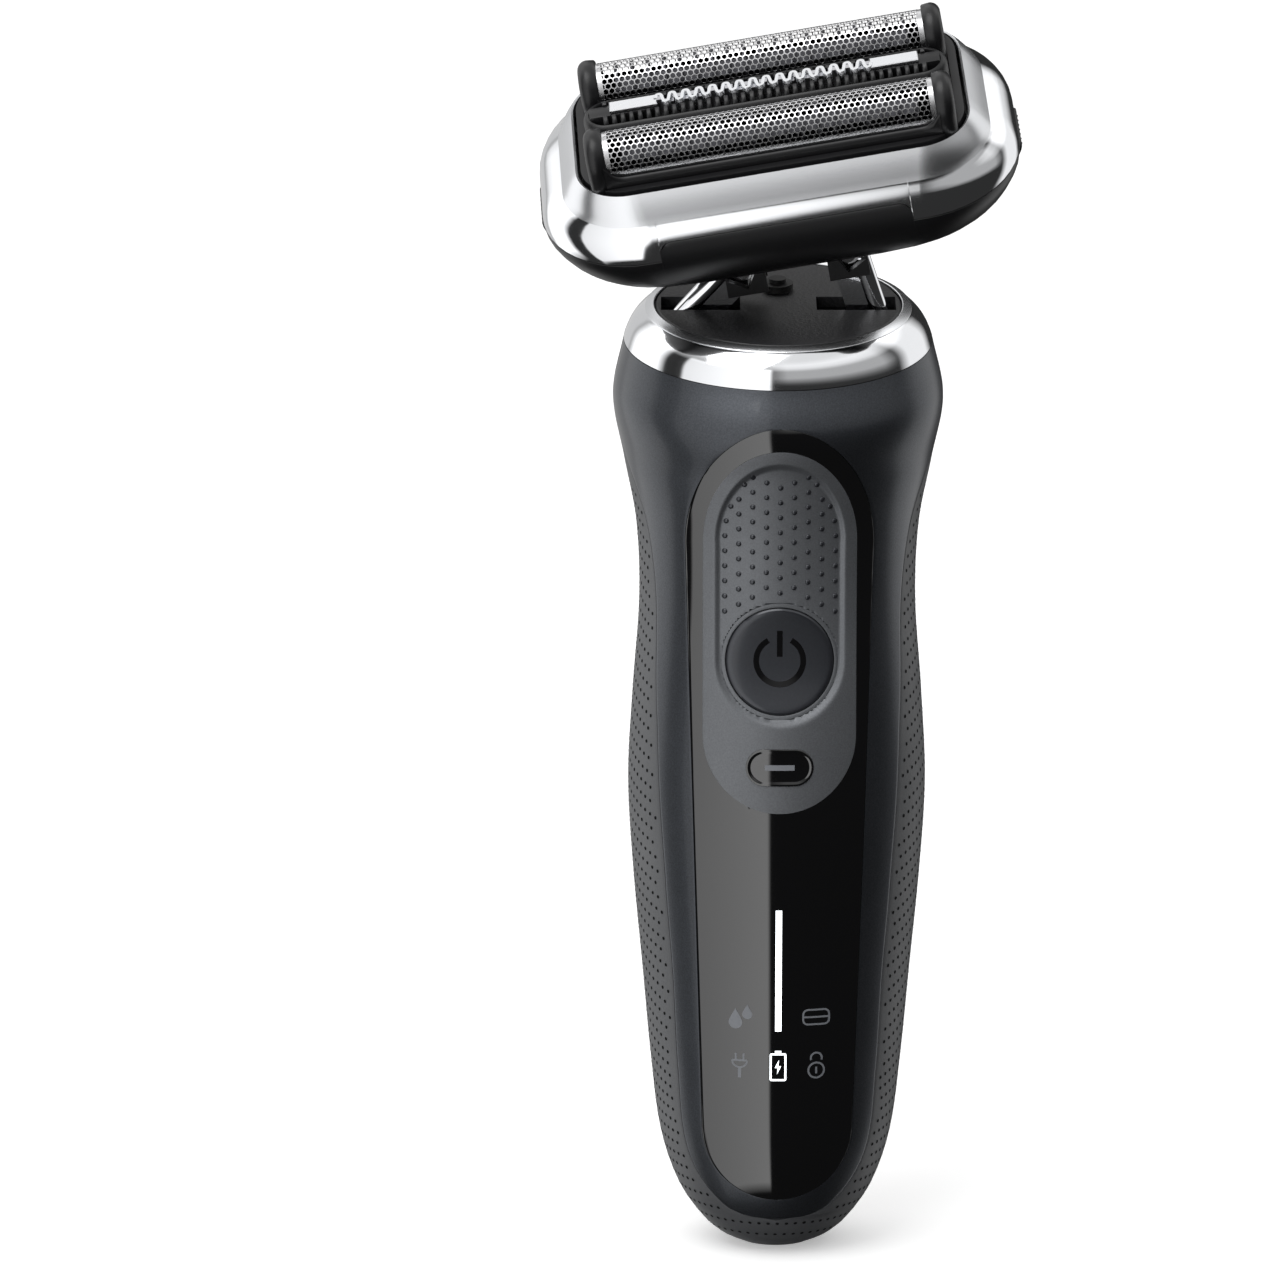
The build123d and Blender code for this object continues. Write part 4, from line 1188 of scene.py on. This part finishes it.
def trimmer_top():
    """The meandering cutter edge and its two bright end plates."""
    pitch, amplitude, half_w, periods, step, flatness = 1.72, 0.78, 0.25, 16, 24, 2.2
    half_length = periods * pitch / 2
    profile = ((-1, 2.2), (-1, 3.5), (-0.8, 3.58), (0.8, 3.58), (1, 3.5), (1, 2.2))
    path = []
    for i in range(periods * step + 1):
        wave = tanh(flatness * sin(2 * pi * i / step)) / tanh(flatness)
        path.append((-half_length + pitch * i / step, amplitude * wave))
    points = []
    for i, (u, v) in enumerate(path):
        ahead = path[min(i + 1, len(path) - 1)]
        behind = path[max(i - 1, 0)]
        along = Vector((ahead[0] - behind[0], ahead[1] - behind[1])).normalized()
        for side, w in profile:
            points.append((u - side * along.y * half_w, v + side * along.x * half_w, w))
    faces = grid_faces(len(path), len(profile), closed=True)
    plate_u, plate_v = 3.05, 0.95
    for side in (-1, 1):
        centre = side * (half_length + 2.9)
        start = len(points)
        for inset, w in ((0.0, 2.6), (0.0, 3.4), (0.1, 3.5)):
            for u, v in ((-1, -1), (1, -1), (1, 1), (-1, 1)):
                points.append((centre + u * (plate_u - inset), v * (plate_v - inset), w))
        faces += grid_faces(3, 4, start, closed=True) + [tuple(start + 8 + j for j in range(4))]
    add_piece("trimmer_cutter", placed(points, HEAD), faces, "satin_chrome", "trimmer_unit",
              "trimmer_comb", crease=35)


# ------------------------------------------------ stage, light and camera
def backdrop():
    """A pale floor that curves up behind and doesn't tint the object."""
    half_width, front_y, bend_y, bend_r, top_z, below = 2.5, -1.6, 0.35, 0.5, 2.2, 0.0002
    profile = [(front_y, 0.0)]
    profile += [(bend_y + y, bend_r + z) for y, z in arc(0.0, 0.0, bend_r, -90, 0, 15)]
    profile += [(bend_y + bend_r, top_z)]
    points = [(x, y, z - below) for y, z in profile for x in (-half_width, half_width)]
    mesh = bpy.data.meshes.new("studio_floor")
    mesh.from_pydata(points, [], grid_faces(len(profile), 2))
    floor = bpy.data.objects.new("studio_floor", mesh)
    bpy.context.scene.collection.objects.link(floor)
    mat = finish("studio_paper", (0.90, 0.90, 0.90), 0.75, grain=60, spread=0.01, relief=0.0)
    bsdf = mat.node_tree.nodes["Principled BSDF"]
    bsdf.inputs["Emission Color"].default_value = (1, 1, 1, 1)
    bsdf.inputs["Emission Strength"].default_value = 0.36
    mesh.materials.append(mat)
    mesh.shade_smooth()
    floor.visible_glossy = False
    floor.visible_diffuse = False


def maths(tree, operation, first, second=None):
    """A maths node of numbers or other nodes' outputs."""
    node = tree.nodes.new("ShaderNodeMath")
    node.operation = operation
    for socket, value in zip(node.inputs, (first, second)):
        if isinstance(value, (int, float)):
            socket.default_value = value
        elif value is not None:
            tree.links.new(value, socket)
    return node.outputs[0]


def band(tree, value, start, end, soft):
    """1 while a value is between start and end, with soft edges."""
    rise = remap(tree, value, 0.0, 1.0, start - soft, start + soft)
    fall = remap(tree, value, 1.0, 0.0, end - soft, end + soft)
    return maths(tree, "MULTIPLY", rise, fall)


# strength, then the azimuths and the heights it lies between, each with the softness of its edges;
# azimuth 0 is the front and 90 the right, height is the upward part of the direction
SOFT_BOXES = (
    (1.25, (-138.0, -95.0, 4.0), (-0.6, 0.8, 0.1)),
    (0.95, (104.0, 144.0, 6.0), (-0.7, 0.85, 0.1)),
    (0.42, (-2.0, 92.0, 8.0), (0.22, 0.75, 0.09)),
    (0.60, (-176.0, -140.0, 6.0), (-0.7, 0.9, 0.1)),
)


def studio_world():
    """A soft studio: a wide light to the left, strips right and behind, a pale top, dark in front."""
    world = bpy.data.worlds.new("studio")
    bpy.context.scene.world = world
    world.use_nodes = True
    tree = world.node_tree
    background = tree.nodes["Background"]
    coords = tree.nodes.new("ShaderNodeTexCoord")
    split = tree.nodes.new("ShaderNodeSeparateXYZ")
    tree.links.new(coords.outputs["Generated"], split.inputs["Vector"])
    forward = maths(tree, "MULTIPLY", split.outputs["Y"], -1.0)
    turn = maths(tree, "ARCTAN2", split.outputs["X"], forward)
    azimuth = maths(tree, "MULTIPLY", turn, 180 / pi)
    height = split.outputs["Z"]

    sides = band(tree, azimuth, -74.0, -6.0, 1.2)
    wide_box = maths(tree, "MULTIPLY", sides, band(tree, height, -0.8, 0.62, 0.03))
    wide_box = maths(tree, "MULTIPLY", wide_box, remap(tree, azimuth, 0.75, 1.1, -70.0, -8.0))
    total = maths(tree, "MULTIPLY", wide_box, 1.25)
    for strength, across, up in SOFT_BOXES:
        box = maths(tree, "MULTIPLY", band(tree, azimuth, *across), band(tree, height, *up))
        total = maths(tree, "ADD", total, maths(tree, "MULTIPLY", box, strength))
    top = remap(tree, height, 0.0, 1.0, 0.55, 0.75)
    total = maths(tree, "ADD", total, maths(tree, "MULTIPLY", top, 0.8))
    total = maths(tree, "ADD", total, 0.03)
    tree.links.new(total, background.inputs["Strength"])
    background.inputs["Color"].default_value = (1, 1, 1, 1)


def area_light(name, location, target, size, power):
    """A square light aimed at a point."""
    data = bpy.data.lights.new(name, "AREA")
    data.shape = "RECTANGLE"
    data.size = size
    data.size_y = size
    data.energy = power
    light = bpy.data.objects.new(name, data)
    light.location = location
    direction = Vector(target) - Vector(location)
    light.rotation_euler = direction.to_track_quat("-Z", "Y").to_euler()
    bpy.context.scene.collection.objects.link(light)


def camera():
    """A long lens in front, a little above, with the shaver right of the middle."""
    data = bpy.data.cameras.new("camera")
    view = bpy.data.objects.new("camera", data)
    bpy.context.scene.collection.objects.link(view)
    distance, elevation, frame_width, nearer = 0.80, radians(10), 0.1632, 0.015
    target = Vector((-0.0178, 0, 0.0800))
    view.location = target + Vector((0, -cos(elevation), sin(elevation))) * distance
    view.rotation_euler = (pi / 2 - elevation, 0, 0)
    data.sensor_width = 36
    data.lens = data.sensor_width * (distance - nearer) / frame_width
    data.clip_start = 0.01
    bpy.context.scene.camera = view


# ------------------------------------------------ build
front_shell()
back_shell()
side_grip()
display_panel()
thumb_pad()
power_button()
button_rim()
pad_dots()
grip_dimples()
seam_liner()
pill_inlay()
front_marks()
neck_ring()
chrome_frame()
head_base()
release_buttons()
rear_contacts()
for place, sign in (("front", -1), ("back", 1)):
    hex_foil(place, sign * FOIL_V, f"foil_{place}_unit")
    foil_strips(place, sign * FOIL_V, f"foil_{place}_unit")
    foil_frame(place, sign * FOIL_V, f"foil_{place}_unit")
comb_frame()
comb_ribs()
comb_seats()
trimmer_top()
backdrop()
studio_world()
area_light("top_soft", (-0.25, -0.35, 0.75), (0, 0, 0.08), 0.5, 2.5)
camera()
bpy.context.scene.view_settings.view_transform = "Standard"
